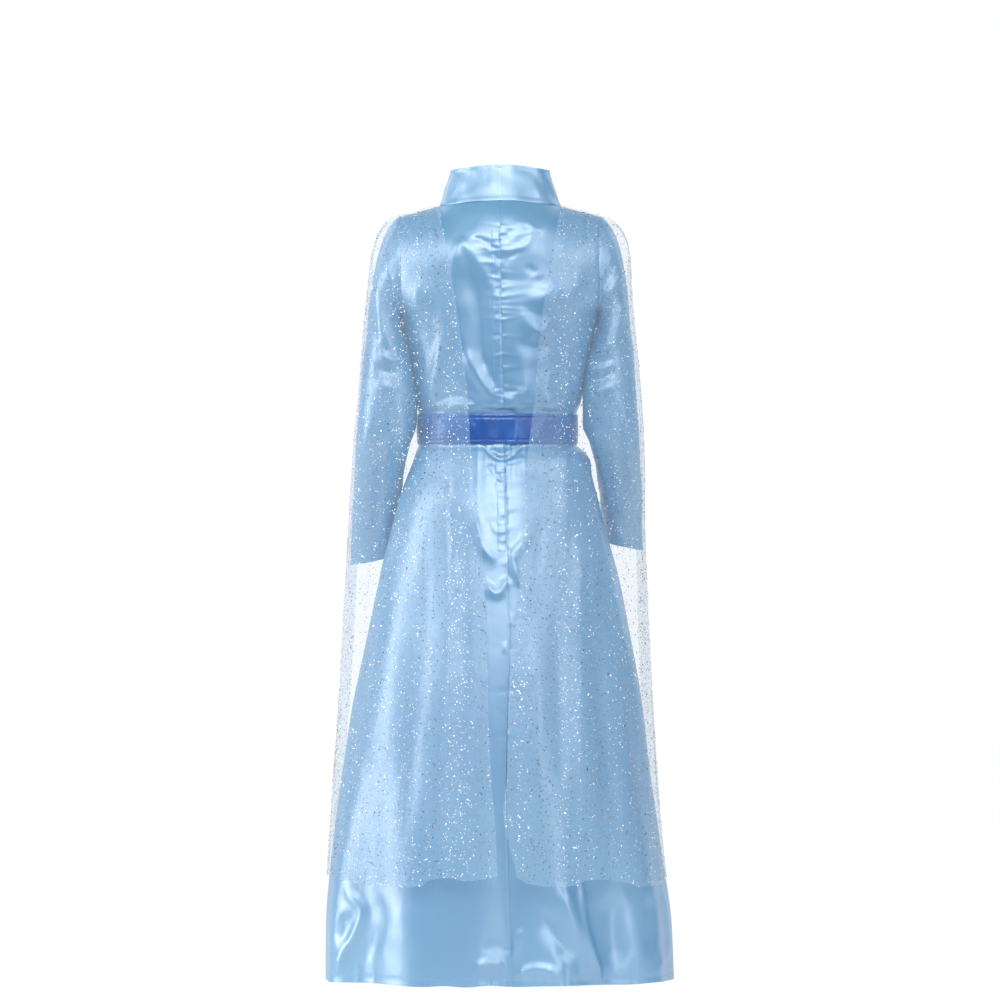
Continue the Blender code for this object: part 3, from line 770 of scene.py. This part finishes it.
def sleeveSurface(side):
    name = "right" if side > 0 else "left"
    back = bodiceSurface(side, -1, 12, 8, 2, 40, 60)[0][1:, -1]
    front = bodiceSurface(side, 1, 12, 8, 2, 40, 60)[0][1:, -1]
    loop = np.concatenate([back[::-1], front[1:-1]])
    loop[:, 0] = side * (armholeX + seamGap / 2)
    loop = resample(loop, sleeve["columns"])
    middle = (0.9150 + 1.0580) / 2
    turn = np.arctan2(loop[:, 1] / 0.050, (loop[:, 2] - middle) / 0.0715)
    # Rows lie evenly along the way that the rings' middles go
    rings = sleeveRings
    way = np.stack([(rings["innerX"] + rings["outerX"]) / 2, rings["middleY"],
                    (rings["innerHeight"] + rings["outerHeight"]) / 2], axis=-1)
    run = runAlong(way, 0.0005)
    placed = dict(rings, height=run)
    at = np.linspace(0, run[-1], sleeve["rows"])[:, None]
    innerX, innerZ, outerX, outerZ, middleY, halfDepth, rise, hold = (
        curve(placed, key, at) for key in rings)
    outerX = outerX - sleeve["trim"][name] * np.clip((1.058 - outerZ) / 0.53, 0, 1)
    elbow = sleeve["elbowHeight"]
    shrink = 1 - sleeve["cuffLift"][name] / (elbow - 0.5735)
    innerZ, outerZ = (np.where(z < elbow, elbow + (z - elbow) * shrink, z)
                      for z in (innerZ, outerZ))
    cosine, sine = np.cos(turn)[None, :], np.sin(turn)[None, :]
    x = side * ((innerX + outerX) / 2 + cosine * (outerX - innerX) / 2)
    y = middleY + sine * halfDepth
    z = (innerZ + outerZ) / 2 + cosine * (outerZ - innerZ) / 2 + sine * rise
    points = np.stack(np.broadcast_arrays(x, y, z), axis=-1).copy()
    shift = loop - points[0]
    shift[:, 0] = 0
    points += hold[..., None] * shift[None, :, :]
    return points, at / run[-1]


def makeSleeve(name, node, side, ridgeRows, seed):
    points, along = sleeveSurface(side)
    x, y = photoPlace(points)
    mirrored = 2 * view["middle"] - x if side < 0 else x
    lift = ridges(x, y, ridgeRows) * facing(points, -1, 0.1, 0.55, True)
    lift += ridges(mirrored, y, frontSleeveRidges) * facing(points, 1, 0.1, 0.55, True)
    turn = np.linspace(0, 2 * np.pi, points.shape[1], endpoint=False)[None, :]
    lift += rumple(0.045 * np.cos(turn) + 0.1, 0.04 * np.sin(turn) + along * 0.48, seed,
                   *sleeve["rumple"])
    gather = np.cos(turn * 17 + 2 * np.sin(3 * turn))
    lift += 0.0007 * gather * np.exp(-along / 0.05) * smooth(along, 0.0, 0.01)
    lift -= 0.0005 * bell(along * 0.48 - (0.48 - sleeve["hem"]), 0.0012)
    lift *= smooth(along, 0.0, 0.04)
    points = pushed(points, lift, True)
    clothPiece(name, node, points, "satin", sleeve["wall"], sleeve["flat"], "hung",
               closed=True, rests_on=["bodiceFront"])
    return points, surfaceNormals(points, closed=True)[0]


leftSleeve = makeSleeve("sleeveLeft", "sleeve_left", -1, leftSleeveRidges, 41)
rightSleeve = makeSleeve("sleeveRight", "sleeve_right", 1, rightSleeveRidges, 51)
print("sleeves made")

# ---- Skirt ----
skirt = {
    "wall": 0.0009, "foldGrowth": 1.3, "rumple": (0.08, 0.0004, 3.0),
    "hem": 0.0078,            # from the hem's edge up to its stitching
    "backFlat": (0.37, 0.78, 0.205), "frontFlat": (0.72, 0.78, 0.42),
}
skirtForm = table("height left right back front", """
    .765 .113 .106 .086 .088 / .74 .113 .106 .086 .088 / .73 .1165 .118 .091 .092
    .717 .121 .126 .097 .096 / .701 .1275 .1275 .102 .1 / .67 .1385 .135 .112 .108
    .62 .1515 .1475 .124 .118 / .56 .1665 .1645 .136 .13 / .48 .183 .18 .151 .145
    .384 .2035 .1965 .167 .16 / .283 .22 .209 .18 .174 / .186 .232 .223 .19 .185
    .08 .2415 .2385 .197 .193 / 0 .2425 .242 .201 .197
""")
# Angle and spread in degrees, depth at the hem, and the height at which each fold begins
skirtFolds = numbers("""
    -67 8 .011 .4 / -50 8 -.009 .45 / -26 13 .01 .6 / 2 8 -.016 .45 / 19 8 .01 .5 / 38 9 -.012 .5
    60 8 .011 .4 / 113 8 .009 .45 / 131 8 -.01 .55 / 150 9 .011 .5 / 170 8 -.009 .4 / 192 9 .01 .55
    212 8 -.01 .45 / 231 8 .01 .5 / 249 7 -.007 .4
""")
skirtCreases = numbers("""
    484,447 521,447 -12 3 -2 / 495,452 508,452 -3 2.5 1.2 / 490,466 500,480 0 3 1.2
    505,464 523,458 0 3 1.2 / 492,526 508,530 -4 2.5 1 / 476,520 482,548 0 3 1.5
    482,548 494,560 0 3 1.5 / 524,540 511,553 0 3 1.5 / 511,553 520,583 0 3 1.5
    488,583 506,583 -12 2.5 1.2 / 511,617 511,624 0 3 1 / 505,645 505,651 0 3 1
    449,480 452,600 0 3 -1.2 / 413,462 423,450 0 3 1.5 / 405,501 416,511 -3 3 1.2
    586,450 594,460 3 3 1.6 / 594,460 589,474 3 3 1.6
""")
skirtRidges = numbers("""
    3 4.5 .2 592,478 597,520 606,562 620,625 636,695 652,800 660,862
    -5.5 14 .3 588,560 594,640 606,740 622,850 / 3 9 .3 577,520 580,600 584,700 585,880
    -2.6 10 .35 556,580 560,690 564,820 / 2.4 9 .35 538,600 536,700 540,830
    5 19 .35 404,570 394,640 386,710 378,800 / -3 11 .3 428,520 424,600 416,700 404,860
    2 12 .35 448,580 444,680 438,800 432,870 / -2.4 9 .35 466,570 462,680 456,830
    -3 9 .35 380,600 360,690 346,790 340,860 / 2.2 7 .35 468,500 476,524 487,550 494,572
    2.6 5 .3 530,520 524,545 512,562 521,590 / 2.6 5 .3 487,580 492,592 502,590 508,574
    -2.4 6 .35 452,486 456,530 462,590 / -2.2 6 .35 540,500 540,550 534,590
    3.6 5.5 .2 340,884 352,896 363,912 355,934 342,956 336,980 / -3.2 8 .3 340,912 346,924 338,945
    -2.4 8 .3 376,890 380,925 366,965 / 1.4 16 .4 392,895 404,925 402,960
    6.5 9 .22 556,878 568,908 584,944 602,990 / 4.2 4 .2 581,876 583,910 588,945 602,988
    -5 9 .3 540,905 556,936 576,968 / -5 13 .3 612,888 612,930 620,972
    3.4 4 .25 660,880 666,915 669,945 656,976 / -2.4 6 .3 648,890 652,925 646,960
    4.2 6 .3 474,974 488,964 508,968 / 4 6 .3 514,976 538,970 566,978
    -2.4 6 .3 478,950 500,946 520,956 / 2.6 5 .3 522,925 516,945 510,962
""")
frontSkirtRidges = numbers("""
    3.2 9 .3 470,470 462,560 450,700 444,880 / -3 10 .3 500,500 500,640 494,880
    3.2 9 .3 532,470 543,570 556,720 560,890 / -3.4 11 .3 566,500 586,620 604,760 612,900
    -3.4 11 .3 434,500 414,620 396,760 386,900 / 3.2 9 .3 590,560 616,680 636,820 642,930
    3.2 9 .3 410,560 382,680 362,820 356,930 / 3 6 .25 520,900 512,930 518,978
    3 6 .25 470,978 478,930 470,890 / 2.8 6 .25 576,980 586,940 580,900
""")
frontSkirtCreases = numbers("""
    500,450 503,530 -3 5 -1.4 / 560,470 578,560 -4 6 -1.6 / 438,470 420,560 4 6 -1.6
    505,900 500,978 3 6 -1.8
""")
skirtMounds = numbers("""
    446,502 26 30 0 2.6 / 562,502 28 26 0 2.6 / 490,480 10 24 0 1.8 / 352,915 14 20 0 1.6
    548,955 16 18 0 1.6 / 642,950 12 40 -8 2 / 508,930 8 30 0 -1.6
""")
skirtPuckers = (465, 470, 474, 480, 485, 489, 495, 500, 506, 511, 515, 528, 545, 562, 583, 620,
                648, 690, 735)
hemPuckers = tuple(range(480, 512, 5)) + tuple(range(520, 582, 6)) + (345, 360, 372, 640, 652)


def skirtSurface(angle, height, out=0.0):
    # Half-ellipses with soft folds that open towards the hem, each a bell round the body
    swell = 0 * (angle + height)
    for place, spread, depth, start in skirtFolds:
        away = (angle - np.radians(place) + np.pi) % (2 * np.pi) - np.pi
        growth = np.clip(1 - height / start, 0, 1) ** skirt["foldGrowth"]
        swell = swell + depth * growth * bell(away, np.radians(spread))
    return bodyRing(skirtForm, angle, height, swell + out)


def skirtHeights(fineRows, coarseRows):
    fine = np.linspace(waistSeam - seamGap / 2, 0.678, fineRows)
    return np.concatenate([fine, np.linspace(0.678, 0, coarseRows)[1:]])[:, None]


def hemRipples(x, y, seed):
    # Small upright dents that the hem's stitching draws in
    chance = np.random.default_rng(seed)
    lift = 0 * x
    for place in hemPuckers:
        at = place + chance.uniform(-2, 2)
        lift = lift + (0.001 * chance.uniform(0.3, 1.0) * chance.choice((1, -1))
                       * bell(x - at, 1.8) * bell(y - 977, chance.uniform(6, 14)))
    return lift


def wornSkirt(name, node, points, angle, lift, rippled, seeds, flat):
    # What all panels of the skirt have: gathers, hem ripples, unevenness and dips at the seams
    x, y = photoPlace(points)
    lift += waistGathers(points, seeds[0], waistSeam - 0.02, 0.035, 0.0012)
    lift += hemRipples(x, y, seeds[1]) * rippled
    lift += rumple(points[..., 0] * 1.6, points[..., 2], seeds[2], *skirt["rumple"])
    lift -= 0.0010 * bell(np.abs(angle) - np.pi / 2, 0.022)
    lift -= 0.0006 * bell(points[..., 2] - skirt["hem"], 0.0014)
    # Under the belt the cloth lies flat
    lift *= smooth(-points[..., 2], -0.747, -0.737)
    points = pushed(points, lift)
    lowest = smooth(-points[..., 2], -0.05, 0.0)
    points[..., 2] += 0.0009 * np.sin(x / 11.0 + 2 * np.sin(x / 37.0)) * lowest
    clothPiece(name, node, points, "satin", skirt["wall"], flat, "hung", rests_on=["waistBelt"])
    return points, surfaceNormals(points)[0]


def makeSkirtBack(name, node, side, seed):
    step = np.linspace(0, 1, 128)
    away = 0.55 * step + 0.45 * step ** 2
    heights = skirtHeights(54, 176)
    width = curve(skirtForm, "right" if side > 0 else "left", heights)
    seamAngle = np.arcsin(curve(seamLine, "x", heights) / width)
    angle = seamAngle + (side * np.pi / 2 - seamAngle) * away[None, :]
    points = skirtSurface(angle, heights)
    x, y = photoPlace(points)
    seamX = x[:, :1]
    behind = facing(points, -1, 0.02, 0.4)
    lift = creases(x, y, skirtCreases) + ridges(x, y, skirtRidges) + mounds(x, y, skirtMounds)
    lift *= behind
    lift += puckers(x, y, seamX, skirtPuckers, seed, (6, 12), (0.5, 1.1), (1.3, 2.2))
    lift -= 0.0007 * bell((x - seamX) / view["pixelsPerMetre"], 0.0018)
    return wornSkirt(name, node, points, angle, lift, behind, (seed + 5, seed + 6, seed + 1),
                     skirt["backFlat"])


def makeSkirtFront():
    angle = np.radians(np.linspace(90, 270, 156))[None, :]
    points = skirtSurface(angle, skirtHeights(30, 126))
    x, y = photoPlace(points)
    lift = creases(x, y, frontSkirtCreases) + ridges(x, y, frontSkirtRidges)
    lift *= facing(points, 1, 0.02, 0.4)
    return wornSkirt("skirtFront", "skirt_front", points, angle - np.pi, lift, 1.0, (81, 82, 83),
                     skirt["frontFlat"])


skirtLeft = makeSkirtBack("skirtBackLeft", "skirt_back_left", -1, 61)
skirtRight = makeSkirtBack("skirtBackRight", "skirt_back_right", 1, 66)
skirtFront = makeSkirtFront()
print("skirt made")

# ---- Belt ----
belt = {
    "low": 0.7412, "high": 0.7832, "wall": 0.0013,
    "out": 0.0021,             # over the cloth that it lies on
    "stitchInset": 0.0056, "bulge": 0.0004, "flat": (0.625, 0.042, 0.0262),
}
beltCreases = numbers("""
    515,410 512,446 0 6 2.2 / 499,412 501,446 0 5 -1.4 / 484,416 490,442 0 5 1.2
    473,425 473,431 0 2.5 .8 / 545,418 541,442 0 7 .8 / 445,416 449,442 0 8 .9
""")


def makeBelt():
    # A band with a soft bulge between its two stitched rows, rippled between them and the edges
    angle = np.linspace(0, 2 * np.pi, 360, endpoint=False)[None, :]
    share = np.linspace(0, 1, 36)[:, None]
    heights = belt["low"] + (belt["high"] - belt["low"]) * share
    tall = belt["high"] - belt["low"]
    inset = belt["stitchInset"] / tall
    out = belt["out"] + 0 * angle + belt["bulge"] * np.sin(np.pi * share) ** 0.5
    for place, fast, wander, slow, wide, start in ((inset, 61, 3, 7, 5, 1),
                                                   (1 - inset, 67, 4, 6, 4, 2)):
        ripple = np.sin(angle * fast + wander * np.sin(angle * slow))
        ripple = ripple * np.sin(angle * wide + start) ** 2
        out = out + 0.0005 * ripple * bell(share - place, 0.10) - 0.0006 * bell(share - place, 0.03)
    out = out - 0.0006 * (bell(share, 0.03) + bell(share - 1, 0.03))
    points = bodyRing(torso, angle, heights, out)
    x, y = photoPlace(points)
    lift = creases(x, y, beltCreases) * facing(points, -1, 0.1, 0.5, True)
    lift += rumple(angle * 0.1, heights, 91, 0.03, 0.00018)
    points = pushed(points, lift, True)
    clothPiece("waistBelt", "belt", points, "belt_satin", belt["wall"], belt["flat"],
               "stretched", closed=True, rests_on=["bodiceFront", "skirtFront"])
    normals = surfaceNormals(points, closed=True)[0]
    rows = [rowRound(points, normals, round(place * 35)) for place in (inset, 1 - inset)]
    stitchRow("beltStitches", rows, blueThread)


makeBelt()
print("belt made")

# ---- Closing strips left of the centre-back seam ----
strips = {
    "near": 0.0012, "width": 0.012, "wall": 0.0004, "lift": 0.0007, "bodice": (0.788, 1.036),
    "skirt": (0.594, 0.740), "flatBodice": (0.012, 0.262, 0.0031),
    "flatSkirt": (0.012, 0.152, 0.0018),
}


def stripPiece(name, node, points, seed, flat):
    # The strip takes the cloth's points moved out, with pressed edges
    across = np.linspace(0, 1, points.shape[1])[None, :]
    lift = strips["lift"] + rumple(points[..., 0], points[..., 2], seed, 0.012, 0.00010)
    lift = lift - 0.0005 * (bell(across, 0.09) + bell(across - 1, 0.09))
    points = pushed(points, lift)
    clothPiece(name, node, points, "closing_strip", strips["wall"], flat, "laid",
               rests_on=["bodiceBackLeft" if "Bodice" in name else "skirtBackLeft"])
    normals = surfaceNormals(points)[0]
    return [(points[:, column] + normals[:, column] * 0.0001, normals[:, column])
            for column in (2, -3)]


def onPanel(panel, across, heights):
    # Points of a panel's surface at given distances from its seam, its first column
    columns = []
    for away in across:
        line = np.array([follow(-row[0, 0] - away, -row[:, 0], row) for row in panel])
        line = line[np.argsort(line[:, 2])]
        columns.append(follow(heights, line[:, 2], line))
    return np.stack(columns, axis=1)


def makeStrips():
    across = -np.linspace(strips["near"], strips["near"] + strips["width"], 16)
    points = onPanel(bodiceLeft, across, np.linspace(*strips["bodice"], 200))
    paths = stripPiece("closingStripBodice", "placket_bodice", points, 101,
                       strips["flatBodice"])
    points = onPanel(skirtLeft[0], across, np.linspace(*strips["skirt"][::-1], 140))
    paths += stripPiece("closingStripSkirt", "placket_skirt", points, 102, strips["flatSkirt"])
    stitchRow("stripStitches", paths, paleThread, 0.0020, 0.0030, 0.00026)


makeStrips()
print("closing strips made")

# ---- Cape panels ----
cape = {
    "top": 1.060, "hem": 0.141, "lift": 0.0022, "squareness": 2.4, "frontAngle": 112,
    "frontShare": 0.9, "wrapDrop": 0.12, "waves": 6, "waveTop": 0.0012, "waveHem": 0.011,
    "waveGrowth": 1.4, "columns": 190, "rows": 150,
    "gathers": 15,             # small pleats where each panel is gathered into the shoulder
    "gatherDepth": 0.0022, "gatherDrop": 0.07, "flat": (0.52, 0.95, 0.44), "flakes": 14500,
    "flakeSize": (0.00042, 0.00118),
}
capeForm = table("height left right back widestY", """
    1.06 .15 .15 0 0 / 1.057 .1535 .1545 .0285 0 / 1.05 .1595 .1615 .058 0 / 1.04 .166 .169 .079 0
    1.02 .174 .1775 .096 0 / .99 .1803 .1815 .1035 0 / .945 .1847 .1838 .105 0
    .886 .1898 .1885 .1055 -.004 / .83 .1948 .1935 .106 -.008 / .773 .2003 .1976 .107 -.008
    .7 .2058 .2012 .115 .01 / .65 .2094 .2027 .124 .04 / .6 .2126 .2036 .134 .064
    .49 .2178 .2066 .158 .056 / .384 .2244 .212 .183 .04 / .283 .2312 .2186 .2 .03
    .186 .2378 .2266 .212 .022 / .141 .2405 .2322 .217 .02
""")
capeInnerEdge = table("height left right", """
    1.06 .085 .085 / 1.02 .0775 .0765 / .95 .065 .0645 / .885 .055 .0555 / .789 .044 .047
    .694 .0385 .0355 / .61 .026 .031 / .49 .019 .022 / .393 .0165 .013 / .283 .012 .0097
    .235 .008 .0045 / .141 .003 .0235
""")
# The hem's height in the photograph, by the pixel across
capeHemLine = table("height y", """
    328 882 / 345 884 / 372 886.5 / 400 888 / 420 886 / 430 880 / 450 877.5 / 463 880 / 480 880
    497 876 / 517 878 / 530 884 / 553 886.5 / 579 885.5 / 584 881 / 605 880 / 620 883 / 645 889
    658 889 / 667 887
""")


def capeSurface(side, share, drop):
    # A flattened round behind the shoulders, with even waves that open towards the hem; the
    # first row lies along the shoulder
    name = "right" if side > 0 else "left"
    height = cape["top"] + (cape["hem"] - cape["top"]) * drop
    width = curve(capeForm, name, height)
    back = curve(capeForm, "back", height)
    widestY = curve(capeForm, "widestY", height)
    power = 2 / cape["squareness"]
    start = np.arcsin((curve(capeInnerEdge, name, height) / width) ** (1 / power))
    wrapped = smooth(cape["top"] - height, 0, cape["wrapDrop"])
    end = np.pi / 2 + np.radians(cape["frontAngle"] - 90) * wrapped
    angle = start + (end - start) * share
    sine, cosine = np.sin(angle), np.cos(angle)
    x = width * sine ** power
    reach = np.where(cosine > 0, back + widestY, cape["frontShare"] * back)
    y = widestY - reach * np.sign(cosine) * np.abs(cosine) ** power
    wave = cape["waveTop"] + (cape["waveHem"] - cape["waveTop"]) * drop ** cape["waveGrowth"]
    wave = wave * (0.5 - 0.5 * np.cos(2 * np.pi * cape["waves"] * share))
    wave = wave * (1 - bell(angle - np.pi / 2, np.radians(24)))
    x = x + wave * sine
    y = y - wave * cosine
    top = shoulderHeight(x[:1]) + cape["lift"]
    z = top + (cape["hem"] - top) * drop
    return np.stack([side * x, y, z], axis=-1)


def makeCape(name, node, side, seed):
    share = np.linspace(0, 1, cape["columns"])[None, :]
    step = np.linspace(0, 1, cape["rows"])[:, None]
    drop = 0.35 * step ** 2 + 0.65 * step
    points = capeSurface(side, share, drop)
    # Gathers at the shoulder, and long slow folds of their own widths lower down
    down = drop * (cape["top"] - cape["hem"])
    beat = 2 * np.pi * cape["gathers"] * share + 1.3 * np.sin(9 * share + side)
    gather = cape["gatherDepth"] * (0.5 + 0.5 * np.cos(beat)) * np.exp(-down / cape["gatherDrop"])
    lift = gather * smooth(down, 0, 0.02)
    lift = lift + rumple(share * 0.45, down * 0.16, seed, 0.045, 0.0011) * smooth(down, 0.02, 0.2)
    lift = lift + rumple(share * 0.45, down * 0.5, seed + 1, 0.02, 0.0003) * smooth(down, 0.02, 0.2)
    points = pushed(points, lift)
    x, y = photoPlace(points)
    asked = curve(capeHemLine, "y", x) - view["middle"]
    change = view["height"] - asked / view["pixelsPerMetre"] / 1.019 - cape["hem"]
    behind = facing(points, -1, -0.2, 0.3)
    points[..., 2] += change * smooth(drop, 0.86, 1.0) * behind
    # Denser where it is folded along an edge, at each wave's flanks, and over the gathers
    edges = 0.8 * (share < 0.012) + 0.8 * (share > 0.988) + 0.5 * (drop > 0.993)
    flank = np.abs(np.sin(2 * np.pi * cape["waves"] * share)) * drop ** 0.8
    turned = bell(share - 0.80, 0.05)
    density = np.clip(edges + 0.18 * flank + 0.5 * np.exp(-down / 0.03) + 0.55 * turned, 0, 1.5)
    clothPiece(name, node, points, "sheer_glitter", 0, cape["flat"], "hung",
               density=density + 0 * points[..., 0], rests_on=["bodiceFront"], with_pieces=[])
    makeFlakes("glitter" + name[4:], points, seed + 2)


def makeFlakes(name, points, seed):
    # Six-sided flakes strewn over the net by its area, each tilted a little, a third of them on
    # its inner face
    chance = np.random.default_rng(seed)
    along = np.diff(points, axis=1)[:-1]
    down = np.diff(points, axis=0)[:, :-1]
    area = np.linalg.norm(np.cross(along, down), axis=2)
    count = cape["flakes"]
    cell = chance.choice(area.size, size=count, p=(area / area.sum()).ravel())
    row, column = np.unravel_index(cell, area.shape)
    s, t = chance.random((2, count, 1))
    corner = points[row, column]
    middle = corner + s * (points[row, column + 1] - corner) + t * (points[row + 1, column] - corner)
    normals = surfaceNormals(points)[0][row, column]
    face = chance.choice((-1, 1, 1), size=(count, 1))
    middle = middle + normals * face * 0.0004
    tilted = unit(normals + chance.normal(0, 0.22, (count, 3)))
    first = unit(np.cross(tilted, chance.normal(0, 1, (count, 3))))
    second = np.cross(tilted, first)
    size = cape["flakeSize"]
    radius = size[0] + (size[1] - size[0]) * chance.random((count, 1, 1)) ** 1.6
    turns = np.linspace(0, 2 * np.pi, 7)[:-1][None, :, None]
    corners = middle[:, None, :] + radius * (np.cos(turns) * first[:, None, :]
                                             + np.sin(turns) * second[:, None, :])
    # Painted glints: tones lie in streaks down the net, so bright flakes gather in upright lines as if
    # catching the light along folds, and neighbours are often alike
    x = middle[:, 0]
    glintStreak = 0.28 * np.sin(x / 0.0052 + 3 * np.sin(x / 0.017)) + 0.18 * np.sin(x / 0.0113)
    glintTone = np.clip(chance.random(count) + glintStreak, 0, 1)
    mesh = meshFrom(name, corners, np.arange(count * 6).reshape(-1, 6).tolist())
    mesh.attributes.new("glintTone", "FLOAT", "POINT").data.foreach_set("value", np.repeat(glintTone, 6))
    piece = placeMesh(name, mesh, flakes)
    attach(piece, "root")


makeCape("capeLeft", "cape_left", -1, 111)
makeCape("capeRight", "cape_right", 1, 121)
print("cape made")


# ---- Stitching on the hem and the cuffs ----
def rowAtHeight(points, normals, height):
    # Where each column of a grid reaches a height
    rows = []
    for column in range(points.shape[1]):
        order = np.argsort(points[:, column, 2])
        z = points[order, column, 2]
        rows.append([follow(height, z, grid[order, column]) for grid in (points, normals)])
    return lieOver(*np.array(rows).transpose(1, 0, 2))


def makeHemStitches():
    rows = [rowAtHeight(*panel, skirt["hem"]) for panel in (skirtLeft, skirtRight, skirtFront)]
    stitchRow("hemStitches", rows, paleThread, 0.0026, 0.0038, 0.0003)
    rows = [rowRound(*tube, -3) for tube in (leftSleeve, rightSleeve)]
    stitchRow("cuffStitches", rows, paleThread, 0.0022, 0.0034, 0.00028)
    row = lieOver(collarPoints[1, 2:-2], collarNormals[1, 2:-2])
    stitchRow("collarStitches", [row], paleThread, 0.0020, 0.0032, 0.00026)


makeHemStitches()
print("stitches made")

# ---- Studio ----
studio = {
    "floor": -1.0766, "white": (1.0, 1.0, 1.0, 1.0), "glow": 1.0,
    "front": -1.2,             # the floor ends here, in front of the camera's view of it
    "wall": 15.0,
}


def makeBackdrop():
    # A wide sweep: floor, a quarter round and a wall, seen as one pale ground
    turn = np.linspace(0, np.pi / 2, 17)
    curveY = studio["wall"] - 3.0 + 3.0 * np.sin(turn)
    curveZ = studio["floor"] + 3.0 - 3.0 * np.cos(turn)
    profile = [(studio["front"], studio["floor"])] + list(zip(curveY.tolist(), curveZ.tolist()))
    profile.append((studio["wall"], 16.0))
    vertices = [(side * 20.0, y, z) for y, z in profile for side in (-1, 1)]
    faces = [(2 * k, 2 * k + 1, 2 * k + 3, 2 * k + 2) for k in range(len(profile) - 1)]
    mesh = bpy.data.meshes.new("backdrop")
    mesh.from_pydata(vertices, [], faces)
    mesh.shade_smooth()
    material, shader, start = newMaterial("studio white")
    feed(shader, {"Base Color": (0.02, 0.02, 0.02, 1.0), "Roughness": 0.9,
                  "Specular IOR Level": 0.0, "Emission Color": studio["white"],
                  "Emission Strength": studio["glow"]})
    placeMesh("backdrop", mesh, material)


# Each light's place, the height on the dress's middle line that it aims at, its power and size
lightNames = ("overhead", "overhead left", "overhead right", "top", "left side", "right side",
              "rear left", "rear right")
lightRows = numbers("""
    -.2 -4.6 2.1 -.45 125 4.8 1.2 / -4.2 -2.2 2.1 -.45 62 2.6 1.1 / 4.2 -2.2 2.1 -.45 46 2.4 1
    0 -2.6 2.4 -.1 34 3.4 1.2 / -4.4 -.2 .2 -.5 84 1.5 2.6 / 2.5 -3.2 .2 -.4 22 .6 2.4
    -2.6 2.4 1.6 -.3 18 2 2 / 2.6 2.4 1.6 -.3 8 2 2
""")


def addLight(name, x, y, z, aim, power, wide, tall):
    data = bpy.data.lights.new(name, "AREA")
    data.energy = power
    data.shape = "RECTANGLE"
    data.size = wide
    data.size_y = tall
    lamp = bpy.data.objects.new(name, data)
    lamp.location = (x, y, z)
    lamp.rotation_euler = Vector((-x, -y, aim - z)).to_track_quat("-Z", "Y").to_euler()
    bpy.context.scene.collection.objects.link(lamp)


def makeStudio():
    makeBackdrop()
    for name, row in zip(lightNames, lightRows):
        addLight(name, *row)
    world = bpy.data.worlds.new("studio")
    world.use_nodes = True
    feed(world.node_tree.nodes["Background"], {"Color": (0.80, 0.92, 1.0, 1.0),
                                               "Strength": 0.26})
    bpy.context.scene.world = world
    data = bpy.data.cameras.new("camera")
    data.sensor_width = 36.0
    data.lens = 36.0 * view["distance"] * view["pixelsPerMetre"] / 1000
    data.clip_end = 100.0
    camera = bpy.data.objects.new("camera", data)
    camera.location = (0, -view["distance"], view["height"] - neckHeight)
    camera.rotation_euler = (np.pi / 2, 0, 0)
    bpy.context.scene.collection.objects.link(camera)
    bpy.context.scene.camera = camera


makeStudio()
# Plain display colours, as the photograph has
bpy.context.scene.view_settings.view_transform = "Standard"
print("scene finished")
